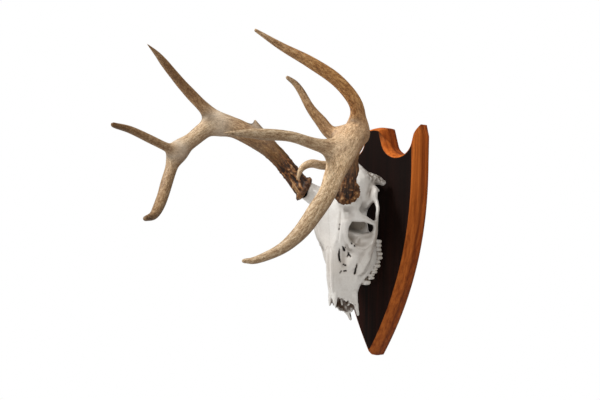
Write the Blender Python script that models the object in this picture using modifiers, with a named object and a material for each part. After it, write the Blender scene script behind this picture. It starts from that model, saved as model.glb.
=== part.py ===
"""Deer skull mount: a bleached skull with its antlers on an arrowhead-shaped wooden plaque.

The plaque's back lies in the plane Y = 0, against the wall. The mount stands out towards -Y,
+Z is up and +X is the deer's left. All sizes are in metres.
"""
import math

import bpy
import bmesh
from mathutils import Matrix, Vector
from mathutils.geometry import delaunay_2d_cdt

# Plaque
PLAQUE_HALF_WIDTH = 0.0945
PLAQUE_THICKNESS = 0.038
PLAQUE_WIDEST_Z = 0.130
PLAQUE_POINT_Z = -0.199
PLAQUE_POINT_CUT = 0.003
PLAQUE_SIDE_POWER = 2.2
BARB_TIP_X = 0.0895
BARB_TIP_Z = 0.2035
STEM_HALF_WIDTH = 0.0175
STEM_TOP_Z = 0.199
STEM_CROWN = 0.003
NOTCH_CENTRE_X = 0.0535
NOTCH_HALF_WIDTH = 0.0285
NOTCH_BOTTOM_Z = 0.1533
NOTCH_RISE = 0.026
BEVEL_DEPTH = 0.0205
BEVEL_INSET = 0.0065

# Skull and antlers
SKULL_LENGTH = 0.270
LEFT_ANTLER_REACH = 0.340
RIGHT_ANTLER_REACH = 0.340
BURR_DIAMETER = 0.047
BURR_HEIGHT = 0.010
ANTLER_ROOT_RADIUS = 0.0165
CONTACT_GAP = 0.0003

# How finely the curved forms are cut
SIDE_STEPS = 18
NOTCH_STEPS = 10
SKIN_STEPS = 120
SKIN_SHARE_KEPT = 0.1
BURR_KNOBS = 11
TINE_SIDES = 2

# The cylinder that trims a pedicle, as a share of the burr's diameter, wide enough to clear it
SEAT_CUTTER_SHARE = 0.7

# Lengths that the tables below are written in: at full size each is a millimetre
SKULL_UNIT = SKULL_LENGTH / 270
ANTLER_REACH_UNITS = 340
NOTCH_SWEEP = math.radians(75)


def new_collection(name):
    """A collection of its own for one kind of object."""
    collection = bpy.data.collections.new(name)
    bpy.context.scene.collection.children.link(collection)
    return collection


def material(name, colour, roughness):
    """A plain bone, horn or wood material."""
    made = bpy.data.materials.new(name)
    made.use_nodes = True
    shader = made.node_tree.nodes["Principled BSDF"]
    shader.inputs["Base Color"].default_value = (*colour, 1.0)
    shader.inputs["Roughness"].default_value = roughness
    shader.inputs["Metallic"].default_value = 0.0
    return made


def mesh_object(name, bm, collection):
    """Turns a bmesh into an object, with its faces pointing out."""
    bmesh.ops.recalc_face_normals(bm, faces=bm.faces)
    mesh = bpy.data.meshes.new(name)
    bm.to_mesh(mesh)
    bm.free()
    made = bpy.data.objects.new(name, mesh)
    collection.objects.link(made)
    return made


def loft(name, rings, collection):
    """Skins a row of unlike rings of equal point count and closes both ends."""
    bm = bmesh.new()
    rows = [[bm.verts.new(point) for point in ring] for ring in rings]
    count = len(rows[0])
    for lower, upper in zip(rows, rows[1:]):
        for i in range(count):
            j = (i + 1) % count
            bm.faces.new((lower[i], lower[j], upper[j], upper[i]))
    bm.faces.new(rows[0])
    bm.faces.new(rows[-1])
    return mesh_object(name, bm, collection)


def smooth_path(points, steps):
    """Catmull-Rom curve through rows of numbers, such as a point with its radius."""
    rows = [Vector(p) for p in points]
    padded = [2 * rows[0] - rows[1]] + rows + [2 * rows[-1] - rows[-2]]
    path = []
    for a, b, c, d in zip(padded, padded[1:], padded[2:], padded[3:]):
        for k in range(steps):
            t = k / steps
            path.append(0.5 * (2 * b + (c - a) * t + (2 * a - 5 * b + 4 * c - d) * t ** 2
                               + (3 * b - a - 3 * c + d) * t ** 3))
    path.append(rows[-1])
    return path


def tube(name, points, collection, steps=2, sides=TINE_SIDES):
    """A round bone or tine along points (x, y, z, radius), as a closed mesh."""
    path = smooth_path(points, steps)
    curve = bpy.data.curves.new(name, "CURVE")
    curve.dimensions = "3D"
    curve.bevel_depth = 1.0
    curve.bevel_resolution = sides
    curve.use_fill_caps = True
    spline = curve.splines.new("POLY")
    spline.points.add(len(path) - 1)
    for knot, row in zip(spline.points, path):
        knot.co = (row[0], row[1], row[2], 1.0)
        knot.radius = row[3]
    guide = bpy.data.objects.new(name, curve)
    collection.objects.link(guide)
    bpy.context.view_layer.update()
    evaluated = guide.evaluated_get(bpy.context.evaluated_depsgraph_get())
    mesh = bpy.data.meshes.new_from_object(evaluated)
    bm = bmesh.new()
    bm.from_mesh(mesh)
    bpy.data.meshes.remove(mesh)
    bmesh.ops.remove_doubles(bm, verts=bm.verts, dist=0.00001)
    made = mesh_object(name + "_solid", bm, collection)
    made.matrix_world = guide.matrix_world
    bpy.data.objects.remove(guide)
    return made


def ellipsoid(name, centre, radii, collection):
    """A rounded mass, such as the braincase or an ear bulla."""
    bm = bmesh.new()
    bmesh.ops.create_uvsphere(bm, u_segments=16, v_segments=10, radius=1.0)
    place = Matrix.Translation(centre) @ Matrix.Diagonal((*radii, 1.0))
    bmesh.ops.transform(bm, matrix=place, verts=bm.verts)
    return mesh_object(name, bm, collection)


def merge(name, objects, collection):
    """Puts overlapping solids into one mesh, still as separate bodies."""
    bm = bmesh.new()
    for item in objects:
        bm.from_mesh(item.data)
        bpy.data.objects.remove(item)
    return mesh_object(name, bm, collection)


def boolean(target, tool, operation, folded=False):
    """Cuts or joins a solid with another; folded when a bend may make one overlap itself."""
    step = target.modifiers.new(tool.name, "BOOLEAN")
    step.operation = operation
    step.solver = "EXACT"
    step.use_self = folded
    step.object = tool
    tool.parent = target
    tool.hide_render = True
    tool.display_type = "WIRE"


def plaque_half_width(z):
    """Half the plaque's width below the barbs, an arc that falls to the point."""
    fall = max(0.0, (PLAQUE_WIDEST_Z - z) / (PLAQUE_WIDEST_Z - PLAQUE_POINT_Z))
    return PLAQUE_HALF_WIDTH * (1 - fall ** PLAQUE_SIDE_POWER)


def plaque_half_outline():
    """The right half of the outline, from the middle of the stem's top round to the point."""
    points = [(0.0, STEM_TOP_Z + STEM_CROWN)]
    points.append((STEM_HALF_WIDTH * 0.6, STEM_TOP_Z + STEM_CROWN * 0.7))
    points.append((STEM_HALF_WIDTH, STEM_TOP_Z))
    for i in range(NOTCH_STEPS + 1):
        turn = NOTCH_SWEEP * (2 * i / NOTCH_STEPS - 1)
        x = NOTCH_CENTRE_X + NOTCH_HALF_WIDTH * math.sin(turn)
        points.append((x, NOTCH_BOTTOM_Z + NOTCH_RISE * (1 - math.cos(turn))))
    points.append((BARB_TIP_X, BARB_TIP_Z))
    points.append((PLAQUE_HALF_WIDTH, BARB_TIP_Z - 0.25 * (BARB_TIP_Z - PLAQUE_WIDEST_Z)))
    end = PLAQUE_POINT_Z + PLAQUE_POINT_CUT
    for i in range(SIDE_STEPS + 1):
        z = PLAQUE_WIDEST_Z + (end - PLAQUE_WIDEST_Z) * i / SIDE_STEPS
        points.append((plaque_half_width(z), z))
    return points


def plaque_outline():
    """The closed outline, with its left half mirrored from the right one."""
    right = plaque_half_outline()
    left = [(-x, z) for x, z in reversed(right) if x > 0]
    return [Vector(p) for p in right + left]


def edge_distance(point, outline):
    """How far a point lies from the outline."""
    nearest = 1.0
    for a, b in zip(outline, outline[1:] + outline[:1]):
        run = b - a
        t = min(1.0, max(0.0, (point - a).dot(run) / run.length_squared))
        nearest = min(nearest, (point - a - run * t).length)
    return nearest


def inset_points(outline, inset):
    """Points at one distance inside the outline, without those that a narrow barb has no room for."""
    kept = []
    count = len(outline)
    for i, here in enumerate(outline):
        back = (here - outline[i - 1]).normalized()
        ahead = (outline[(i + 1) % count] - here).normalized()
        inward = Vector((back.y + ahead.y, -back.x - ahead.x)).normalized()
        lean = max(0.5, inward.dot(Vector((back.y, -back.x))))
        point = here + inward * (inset / lean)
        if edge_distance(point, outline) > inset * 0.97:
            kept.append(point)
    return kept


def barb_ridge(outline):
    """Points along the middle of the barb, where its two bevels meet."""
    ridge = []
    for i in range(1, 7):
        z = BARB_TIP_Z - i * BEVEL_INSET
        low = NOTCH_CENTRE_X + NOTCH_HALF_WIDTH
        high = PLAQUE_HALF_WIDTH
        best = max((edge_distance(Vector((x, z)), outline), x)
                   for x in [low + (high - low) * k / 40 for k in range(1, 40)])
        if best[0] < BEVEL_INSET * 0.95:
            ridge.append(Vector((best[1], z)))
            ridge.append(Vector((-best[1], z)))
    return ridge


def bevel_depth_at(distance):
    """How far the front stands out at a distance from the edge: a full bevel, slightly rounded."""
    share = min(1.0, distance / BEVEL_INSET)
    rise = math.sin(share * math.pi / 2) ** 0.9
    return PLAQUE_THICKNESS - BEVEL_DEPTH * (1 - rise)


def build_plaque(collection):
    """One board: flat back, straight edge, then a steep bevel up to the flat front."""
    outline = plaque_outline()
    count = len(outline)
    inner = inset_points(outline, BEVEL_INSET * 0.45) + inset_points(outline, BEVEL_INSET)
    points = outline + inner + barb_ridge(outline)
    edges = [(i, (i + 1) % count) for i in range(count)]
    flat, _, faces, *_ = delaunay_2d_cdt(points, edges, [], 1, 0.00001)
    bm = bmesh.new()
    front = []
    for i, point in enumerate(flat):
        distance = 0.0 if i < count else edge_distance(point, outline)
        front.append(bm.verts.new((point.x, -bevel_depth_at(distance), point.y)))
    back = [bm.verts.new((point.x, 0.0, point.y)) for point in outline]
    for face in faces:
        bm.faces.new([front[i] for i in face])
    for i in range(count):
        j = (i + 1) % count
        bm.faces.new((front[i], front[j], back[j], back[i]))
    bm.faces.new(back)
    return mesh_object("plaque", bm, collection)


def skull_point(x, height, z):
    """A point of the skull: aside, out from the board, and up, in skull units."""
    return Vector((x, -height, z)) * SKULL_UNIT


def bone(points):
    """Rows (x, height, z, radius) in skull units, ready for a tube."""
    return [(*skull_point(x, height, z), radius * SKULL_UNIT) for x, height, z, radius in points]


def mirrored(points):
    """The same rows on the deer's right."""
    return [(-x, *rest) for x, *rest in points]


# The skull's cross-sections from the nose up to the back of the head, in skull units:
# z, then height and half-width at the top, height and half-width at the side,
# height and half-width at the base, and the height of the underside
SECTIONS = (
    (-88, 95, 5.5, 72, 14.5, 47, 14, 43),
    (-66, 99, 7, 72, 18, 42, 20, 44),
    (-50, 100.5, 8, 66, 25, 30, 27, 38),
    (-28, 101, 10, 60, 38, 18, 31, 28),
    (-8, 101.5, 14, 60, 45, 20, 30, 28),
    (6, 102, 22, 62, 34, 18, 28, 30),
    (20, 103, 31, 70, 21, 34, 22, 36),
    (34, 105, 36, 72, 19, 36, 22, 36),
    (48, 106, 35, 70, 26, 38, 24, 36),
    (64, 106, 33, 66, 34, 36, 27, 32),
    (84, 100, 27, 62, 37, 30, 30, 24),
    (106, 91, 20, 58, 37, 22, 29, 18),
    (124, 80, 14, 54, 32, 22, 24, 22),
    (136, 70, 8, 56, 18, 40, 13, 36),
)

# The broken front of the nose: how far it slopes back towards the nasal bones,
# and how much shorter it is on the left than on the right
NOSE_END_Z = -92
NOSE_SLOPE = 0.45
NOSE_SKEW = 0.58

# Bones of the left side, as rows (x, height, z, radius) in skull units
BROW = ((28, 96, 50, 10), (27, 96, 34, 9), (26, 96, 22, 8), (22, 93, 8, 7), (17, 88, -6, 6.5))
UPPER_RIM = ((36, 97, 47, 5.5), (37, 99.5, 34, 4.5), (36, 99.5, 22, 4), (33, 94, 9, 4.5), (34, 85, 0, 5))
POSTORBITAL_BAR = ((37, 89, 55, 10), (43, 77, 47, 8), (47.5, 66, 42.5, 6.5), (51, 54, 37, 4.5))
LOWER_RIM = ((34, 85, 0, 5), (40, 74, -4, 5), (47, 63, -2, 4.5), (52, 54, 5, 4.5), (52.5, 50, 20, 4.5),
             (52, 50, 38, 4.5))
ZYGOMATIC = ((41, 52, -14, 8), (49, 50, 4, 5), (52.5, 47, 24, 4.5), (52, 46, 44, 4), (51, 45, 60, 4),
             (47, 45, 70, 5), (42, 46, 80, 7), (37, 43, 92, 9))
SQUAMOSAL = ((30, 48, 66, 8), (37, 46, 75, 8), (44, 43, 84, 5.5), (45, 42, 89, 4))
CHEEK = ((30, 56, -40, 9), (36, 58, -25, 11), (42, 58, -11, 9), (46, 57, 1, 6.5))
LACRIMAL = ((24, 74, -30, 8), (32, 74, -14, 9), (39, 72, -2, 7))
PEDICLE_BASE = (28, 85, 69)
PEDICLE_RADII = (20, 17, 15.5)
LEFT_BURR = (46, 112, 85)
RIGHT_BURR = (-49.5, 116.5, 91)
PREMAXILLA_LEFT = ((13, 54, -84, 7), (12.5, 50, -96, 5), (11.5, 45, -109, 3.2), (10, 40, -122, 1.4))
PREMAXILLA_RIGHT = ((-13, 54, -84, 7), (-12, 48, -104, 5), (-11, 42, -119, 3), (-9, 37, -131, 1.4))
NASAL_TIP = ((4, 91, -84, 5), (5, 91.5, -95, 3.4), (6, 91.5, -103.5, 1.3))
NUCHAL_CREST = ((0, 71, 133, 6), (12, 66, 132, 5.5), (21, 57, 128, 5), (28, 48, 119, 5), (33, 38, 116, 5),
                (36, 25, 112, 5), (37, 12, 108, 3))
CONDYLE = ((12, 36, 126, 7), (15, 24, 124, 8), (12, 14, 117, 7))
PARACONDYLAR = ((26, 26, 112, 7), (29, 13, 109, 5), (30, 0, 106, 3.5))
BASE_OF_SKULL = ((0, 40, 20, 10), (0, 34, 60, 10), (0, 26, 92, 11), (0, 22, 114, 10))
PTERYGOID = ((13, 32, 6, 4), (12, 26, 22, 3.5), (11, 28, 38, 3), (12, 34, 54, 4))

# Upper teeth of one side, front to back: z, how far the crown reaches out from the board,
# half-width of the row at its outer face, and length along the row
TEETH = (
    (-65, 22, 24, 8),
    (-56, 15.5, 27, 9),
    (-45, 11, 29, 9),
    (-32.5, 4.5, 30.5, 12),
    (-18, -1, 30.5, 13),
    (-3, 5, 31, 13),
)
CROWN_HEIGHT = 12
CROWN_WIDTH = 12

# Hollows cut into the skull: an ellipsoid's centre and radii, left side, in skull units
NASAL_OPENING = ((0, 70, -112), (9, 19, 30))
MAGNUM = ((0, 34, 140), (11, 12, 18))
PALATE = ((0, 6, -28), (16, 26, 52))


def section_ring(row, broken=False):
    """One closed cross-section of the skull's body, slanted where the nose is broken off."""
    z, top, top_w, side, side_w, base, base_w, under = row
    half = [(0, top), (top_w, top - 1), (side_w, side), (base_w, base), (0, under)]
    whole = half + [(-x, h) for x, h in reversed(half[1:-1])]
    closed = whole[-1:] + whole + whole[:2]
    path = smooth_path(closed, 3)[3:3 + 3 * len(whole)]
    if broken:
        return [skull_point(x, h, NOSE_END_Z - NOSE_SLOPE * (top - h) + NOSE_SKEW * x) for x, h in path]
    return [skull_point(x, h, z) for x, h in path]


def tooth(name, row, side, collection):
    """One upper cheek tooth: a block whose crown narrows to its worn ridge."""
    z, reach, outer, length = row
    bm = bmesh.new()
    bmesh.ops.create_cube(bm, size=1.0)
    for vertex in bm.verts:
        crown = vertex.co.y > 0
        narrow = 0.8 if crown else 1.0
        vertex.co.x *= CROWN_WIDTH * narrow
        vertex.co.z *= (length - 1) * narrow
        vertex.co.y *= CROWN_HEIGHT
        vertex.co += Vector((side * (outer - CROWN_WIDTH / 2), -reach - CROWN_HEIGHT / 2, z))
        vertex.co *= SKULL_UNIT
    return mesh_object(name, bm, collection)


def burr_frame(burr):
    """Where an antler sits on the skull, with the direction in which it leaves the pedicle."""
    centre = skull_point(*burr)
    side = math.copysign(1, burr[0])
    base = skull_point(side * PEDICLE_BASE[0], *PEDICLE_BASE[1:])
    return centre, (centre - base).normalized()


def pedicle(burr):
    """The bony stub under an antler, a little longer than its seat cuts it."""
    centre, out = burr_frame(burr)
    side = math.copysign(1, burr[0])
    base = skull_point(side * PEDICLE_BASE[0], *PEDICLE_BASE[1:])
    middle = base.lerp(centre, 0.55)
    return [(*point, radius * SKULL_UNIT) for point, radius in zip((base, middle, centre), PEDICLE_RADII)]


def seat_cutter(name, burr, collection):
    """Cuts the pedicle off square, one contact gap below the antler's base."""
    centre, out = burr_frame(burr)
    depth = BURR_DIAMETER
    radius = BURR_DIAMETER * SEAT_CUTTER_SHARE
    bm = bmesh.new()
    bmesh.ops.create_cone(bm, cap_ends=True, segments=24, radius1=radius, radius2=radius, depth=depth)
    middle = centre + out * (depth / 2 - BURR_HEIGHT / 2 - CONTACT_GAP)
    turn = out.to_track_quat("Z", "Y").to_matrix().to_4x4()
    bmesh.ops.transform(bm, matrix=Matrix.Translation(middle) @ turn, verts=bm.verts)
    return mesh_object(name, bm, collection)


def board_cutter(collection):
    """Trims whatever would reach past the skull's resting plane on the board."""
    bm = bmesh.new()
    bmesh.ops.create_cube(bm, size=SKULL_LENGTH * 1.4)
    bmesh.ops.translate(bm, vec=(0, SKULL_LENGTH * 0.7, 0), verts=bm.verts)
    return mesh_object("board_plane", bm, collection)


def build_skull(collection, cutters):
    """The skull without its lower jaw, one closed bone."""
    rings = [section_ring(SECTIONS[0], broken=True)] + [section_ring(row) for row in SECTIONS[1:]]
    pieces = [loft("body", rings, cutters)]
    both = {"brow": BROW, "upper_rim": UPPER_RIM, "postorbital_bar": POSTORBITAL_BAR,
            "lower_rim": LOWER_RIM, "zygomatic": ZYGOMATIC, "squamosal": SQUAMOSAL,
            "cheek": CHEEK, "lacrimal": LACRIMAL, "nasal_tip": NASAL_TIP,
            "nuchal_crest": NUCHAL_CREST, "condyle": CONDYLE, "paracondylar": PARACONDYLAR,
            "pterygoid": PTERYGOID}
    for name, rows in both.items():
        pieces.append(tube(name + "_left", bone(rows), cutters))
        pieces.append(tube(name + "_right", bone(mirrored(rows)), cutters))
    pieces.append(tube("premaxilla_left", bone(PREMAXILLA_LEFT), cutters))
    pieces.append(tube("premaxilla_right", bone(PREMAXILLA_RIGHT), cutters))
    pieces.append(tube("base_of_skull", bone(BASE_OF_SKULL), cutters))
    for burr in (LEFT_BURR, RIGHT_BURR):
        pieces.append(tube("pedicle", pedicle(burr), cutters))
    for side, word in ((1, "left"), (-1, "right")):
        for i, row in enumerate(TEETH):
            pieces.append(tooth(f"tooth_{word}_{i}", row, side, cutters))
    skull = merge("skull", pieces, collection)
    remesh = skull.modifiers.new("one_skin", "REMESH")
    remesh.mode = "VOXEL"
    remesh.voxel_size = SKULL_LENGTH / SKIN_STEPS
    remesh.adaptivity = 0.0
    soften = skull.modifiers.new("soften", "SMOOTH")
    soften.factor = 0.5
    soften.iterations = 2
    for name, (centre, radii) in (("nasal_opening", NASAL_OPENING), ("magnum", MAGNUM), ("palate", PALATE)):
        hollow = ellipsoid(name, skull_point(*centre), [r * SKULL_UNIT for r in radii], cutters)
        boolean(skull, hollow, "DIFFERENCE")
    thin = skull.modifiers.new("fewer_faces", "DECIMATE")
    thin.ratio = SKIN_SHARE_KEPT
    boolean(skull, seat_cutter("seat_left", LEFT_BURR, cutters), "DIFFERENCE")
    boolean(skull, seat_cutter("seat_right", RIGHT_BURR, cutters), "DIFFERENCE")
    boolean(skull, board_cutter(cutters), "DIFFERENCE")
    return skull


# The burr from its flat base up: height as a share of the burr's, then radius over the
# knobs and between them as a share of its widest
BURR_PROFILE = ((-0.5, 0.76, 0.76), (-0.3, 0.96, 0.91), (0.05, 1.0, 0.94), (0.5, 0.74, 0.74))

# Antlers, as rows (aside, out, up, diameter) from the burr's centre. The unit is a 340th
# of the antler's reach, a millimetre at full size. Aside points away from the other antler.
LEFT_BEAM = ((12, 11, 15, 30), (25, 24, 34, 28), (46, 42, 60, 29), (79, 64, 78, 30), (108, 95, 86, 31),
             (130, 130, 73, 34), (140, 156, 49, 36), (140, 171, 21, 29), (138, 183, -7, 25),
             (131, 197, -31, 25), (120, 214, -60, 22), (104, 236, -85, 16), (84, 264, -101, 9),
             (72, 279, -103, 3.5))
LEFT_TINES = {
    "upper": ((109, 91, 83, 28), (119, 102, 103, 24), (129, 121, 128, 20), (126, 156, 156, 19),
              (113, 196, 178, 17), (95, 235, 197, 11), (81, 274, 217, 3)),
    "middle": ((123, 132, 77, 26), (108, 148, 82, 20), (99, 161, 99, 17), (90, 173, 117, 13),
               (81, 182, 139, 11), (74, 189, 152, 8.5), (67, 199, 161, 3.5)),
    "forward": ((137, 159, 57, 30), (131, 199, 61, 18), (121, 240, 70, 15), (107, 276, 71, 16),
                (97, 303, 71, 11), (86, 329, 70, 2.5)),
    "brow": ((28, 19, 37, 16), (36, 61, 40, 15), (32, 87, 39, 14), (27, 107, 41, 13), (22, 121, 34, 10),
             (20, 127, 21, 6), (20, 126, 15, 3)),
}
RIGHT_BEAM = ((11, 4, 13, 30), (25, 14, 33, 29), (40, 24, 53, 29), (56, 38, 72, 31), (74, 55, 88, 34),
              (93, 76, 101, 34), (108, 93, 107, 33), (119, 115, 100, 29), (129, 139, 79, 26),
              (136, 158, 63, 29), (137, 171, 42, 24), (135, 179, 25, 20), (129, 191, 3, 20),
              (120, 204, -17, 19), (105, 223, -36, 18), (88, 245, -50, 13), (71, 273, -55, 5))
RIGHT_TINES = {
    "upper": ((110, 95, 105, 28), (123, 108, 125, 24), (127, 124, 139, 20), (127, 145, 154, 19),
              (119, 171, 168, 17), (107, 200, 183, 15), (95, 226, 196, 13), (86, 246, 206, 9),
              (79, 270, 218, 2)),
    "forward": ((134, 165, 57, 24), (130, 192, 63, 15), (119, 235, 74, 14), (102, 283, 84, 12),
                (86, 321, 87, 8), (82, 329, 88, 4)),
    "spur": ((62, 37, 79, 14), (63, 45, 95, 8), (63, 57, 114, 2)),
}


def antler_rows(rows, side, unit):
    """Antler rows as points with a radius, on the left (1) or the right (-1)."""
    return [(side * x * unit, -out * unit, up * unit, width * unit / 2) for x, out, up, width in rows]


def burr_ring(name, axis, collection):
    """The rough crown round an antler's base, a ring of knobs."""
    turn = axis.to_track_quat("Z", "Y").to_matrix()
    rings = []
    for height, peak, valley in BURR_PROFILE:
        ring = []
        for i in range(2 * BURR_KNOBS):
            angle = math.pi * i / BURR_KNOBS
            radius = BURR_DIAMETER / 2 * (valley if i % 2 else peak)
            spot = Vector((radius * math.cos(angle), radius * math.sin(angle), height * BURR_HEIGHT))
            ring.append(turn @ spot)
        rings.append(ring)
    return loft(name, rings, collection)


def build_antler(name, burr, beam, tines, reach, collection, cutters):
    """One antler: main beam, burr and tines joined into a closed solid."""
    side = math.copysign(1, burr[0])
    centre, axis = burr_frame(burr)
    unit = reach / ANTLER_REACH_UNITS
    foot = [-axis * BURR_HEIGHT * 0.3, axis * BURR_HEIGHT * 0.5]
    root = [(*point, ANTLER_ROOT_RADIUS) for point in foot]
    antler = tube(name, root + antler_rows(beam, side, unit), cutters)
    antler.name = name
    cutters.objects.unlink(antler)
    collection.objects.link(antler)
    boolean(antler, burr_ring(name + "_burr", axis, cutters), "UNION", folded=True)
    for tine, rows in tines.items():
        branch = tube(f"{name}_{tine}", antler_rows(rows, side, unit), cutters)
        boolean(antler, branch, "UNION", folded=True)
    antler.location = centre + Vector((0, -PLAQUE_THICKNESS - CONTACT_GAP, 0))
    return antler


def main():
    """Builds the four pieces, each a closed solid."""
    for item in list(bpy.data.objects):
        bpy.data.objects.remove(item, do_unlink=True)
    parts = new_collection("deer_skull_mount")
    cutters = new_collection("cutters")
    stand = bpy.data.objects.new("mount_origin", None)
    parts.objects.link(stand)

    plaque = build_plaque(parts)
    plaque.data.materials.append(material("stained_wood", (0.03, 0.014, 0.01), 0.45))
    skull = build_skull(parts, cutters)
    skull.location = (0, -PLAQUE_THICKNESS - CONTACT_GAP, 0)
    skull.data.materials.append(material("bleached_bone", (0.78, 0.76, 0.72), 0.4))
    horn = material("antler", (0.33, 0.22, 0.12), 0.5)
    left = build_antler("antler_left", LEFT_BURR, LEFT_BEAM, LEFT_TINES, LEFT_ANTLER_REACH, parts, cutters)
    right = build_antler("antler_right", RIGHT_BURR, RIGHT_BEAM, RIGHT_TINES, RIGHT_ANTLER_REACH, parts, cutters)
    for piece in (left, right):
        piece.data.materials.append(horn)
    for piece in (plaque, skull, left, right):
        piece.parent = stand


main()
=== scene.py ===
"""Looks of the deer skull mount: the wooden plaque, the bleached skull and the two antlers.

Lengths in the tables and in the signed-distance grids are millimetres, in the part's own frame:
+X the deer's left, -Y out from the wall, +Z up.
"""
import math
from functools import lru_cache

import bpy
import bmesh
import numpy as np
from mathutils import Matrix, Vector
from mathutils.geometry import delaunay_2d_cdt


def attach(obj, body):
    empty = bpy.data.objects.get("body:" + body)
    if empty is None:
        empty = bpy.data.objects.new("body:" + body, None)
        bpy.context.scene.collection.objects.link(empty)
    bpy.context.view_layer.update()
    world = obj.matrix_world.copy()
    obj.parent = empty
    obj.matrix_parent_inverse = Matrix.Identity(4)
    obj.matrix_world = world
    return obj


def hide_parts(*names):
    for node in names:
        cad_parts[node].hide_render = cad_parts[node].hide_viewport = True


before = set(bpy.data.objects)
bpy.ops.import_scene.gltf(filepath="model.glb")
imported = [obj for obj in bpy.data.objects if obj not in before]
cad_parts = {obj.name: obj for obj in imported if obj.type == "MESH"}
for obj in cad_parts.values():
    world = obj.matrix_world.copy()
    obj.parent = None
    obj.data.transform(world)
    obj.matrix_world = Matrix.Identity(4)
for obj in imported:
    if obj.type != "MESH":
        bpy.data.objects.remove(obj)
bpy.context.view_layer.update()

MM = 0.001
# The distance given to whatever lies too far off to matter
FAR = 30.0

# Sizes that the solids have too
PLAQUE_HALF_WIDTH = 94.5
PLAQUE_THICKNESS = 38.0
PLAQUE_WIDEST_Z = 130.0
PLAQUE_POINT_Z = -199.0
PLAQUE_POINT_CUT = 3.0
PLAQUE_SIDE_POWER = 2.2
BARB_TIP_X = 89.5
BARB_TIP_Z = 203.5
STEM_HALF_WIDTH = 17.5
STEM_TOP_Z = 199.0
STEM_CROWN = 3.0
NOTCH_CENTRE_X = 53.5
NOTCH_HALF_WIDTH = 28.5
NOTCH_BOTTOM_Z = 153.3
NOTCH_RISE = 26.0
NOTCH_SWEEP = math.radians(75)
BEVEL_DEPTH = 20.5
BEVEL_INSET = 6.5

GAP = 0.3
BOARD_Y = -PLAQUE_THICKNESS - GAP
BURR_RADIUS = 23.5
BURR_HEIGHT = 10.0
ROOT_RADIUS = 16.5
PEDICLE_BASE = (28, 85, 69)
PEDICLE_RADII = (20, 17, 15.5)
LEFT_BURR = (46, 112, 85)
RIGHT_BURR = (-49.5, 116.5, 91)


# The corners of a grid cell, and how many random numbers a block of noise has along each side
CORNERS = [(i, j, k) for i in (0, 1) for j in (0, 1) for k in (0, 1)]
LATTICE = 32


def smooth_rows(rows, steps):
    """Catmull-Rom curve through rows of numbers."""
    rows = np.array(rows, float)
    padded = np.vstack([2 * rows[0] - rows[1], rows, 2 * rows[-1] - rows[-2]])
    path = []
    for a, b, c, d in zip(padded, padded[1:], padded[2:], padded[3:]):
        for k in range(steps):
            t = k / steps
            path.append(0.5 * (2 * b + (c - a) * t + (2 * a - 5 * b + 4 * c - d) * t ** 2
                               + (3 * b - a - 3 * c + d) * t ** 3))
    path.append(rows[-1])
    return np.array(path)


@lru_cache(None)
def lattice(seed):
    """A block of random numbers for smooth noise."""
    return np.random.RandomState(seed).rand(LATTICE, LATTICE, LATTICE).astype(np.float32) * 2 - 1


def corner_blend(part, corner):
    """Blends the values at a cell's corners by where each point lies between them."""
    total = 0.0
    for step in CORNERS:
        total = total + np.prod(np.where(step, part, 1 - part), -1) * corner(step)
    return total


def noise(points, size, seed):
    """Smooth noise from -1 to 1 at the points; size is how far apart its values lie."""
    block = lattice(seed)
    scaled = np.asarray(points, float) / size
    cell = np.floor(scaled).astype(int)
    part = scaled - cell
    part = part * part * (3 - 2 * part)
    return corner_blend(part, lambda step: block[tuple(np.moveaxis((cell + step) % LATTICE, -1, 0))])


def soft_min(a, b, k):
    """The nearer of two surfaces, with a fillet about k wide where they meet."""
    if k <= 0:
        return np.minimum(a, b)
    h = np.clip(0.5 + 0.5 * (b - a) / k, 0, 1)
    return b * (1 - h) + a * h - k * h * (1 - h)


def soft_max(a, b, k):
    return -soft_min(-a, -b, k)


# How far past a shape, in millimetres, its distances are still worked out
BAND = 3


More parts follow.
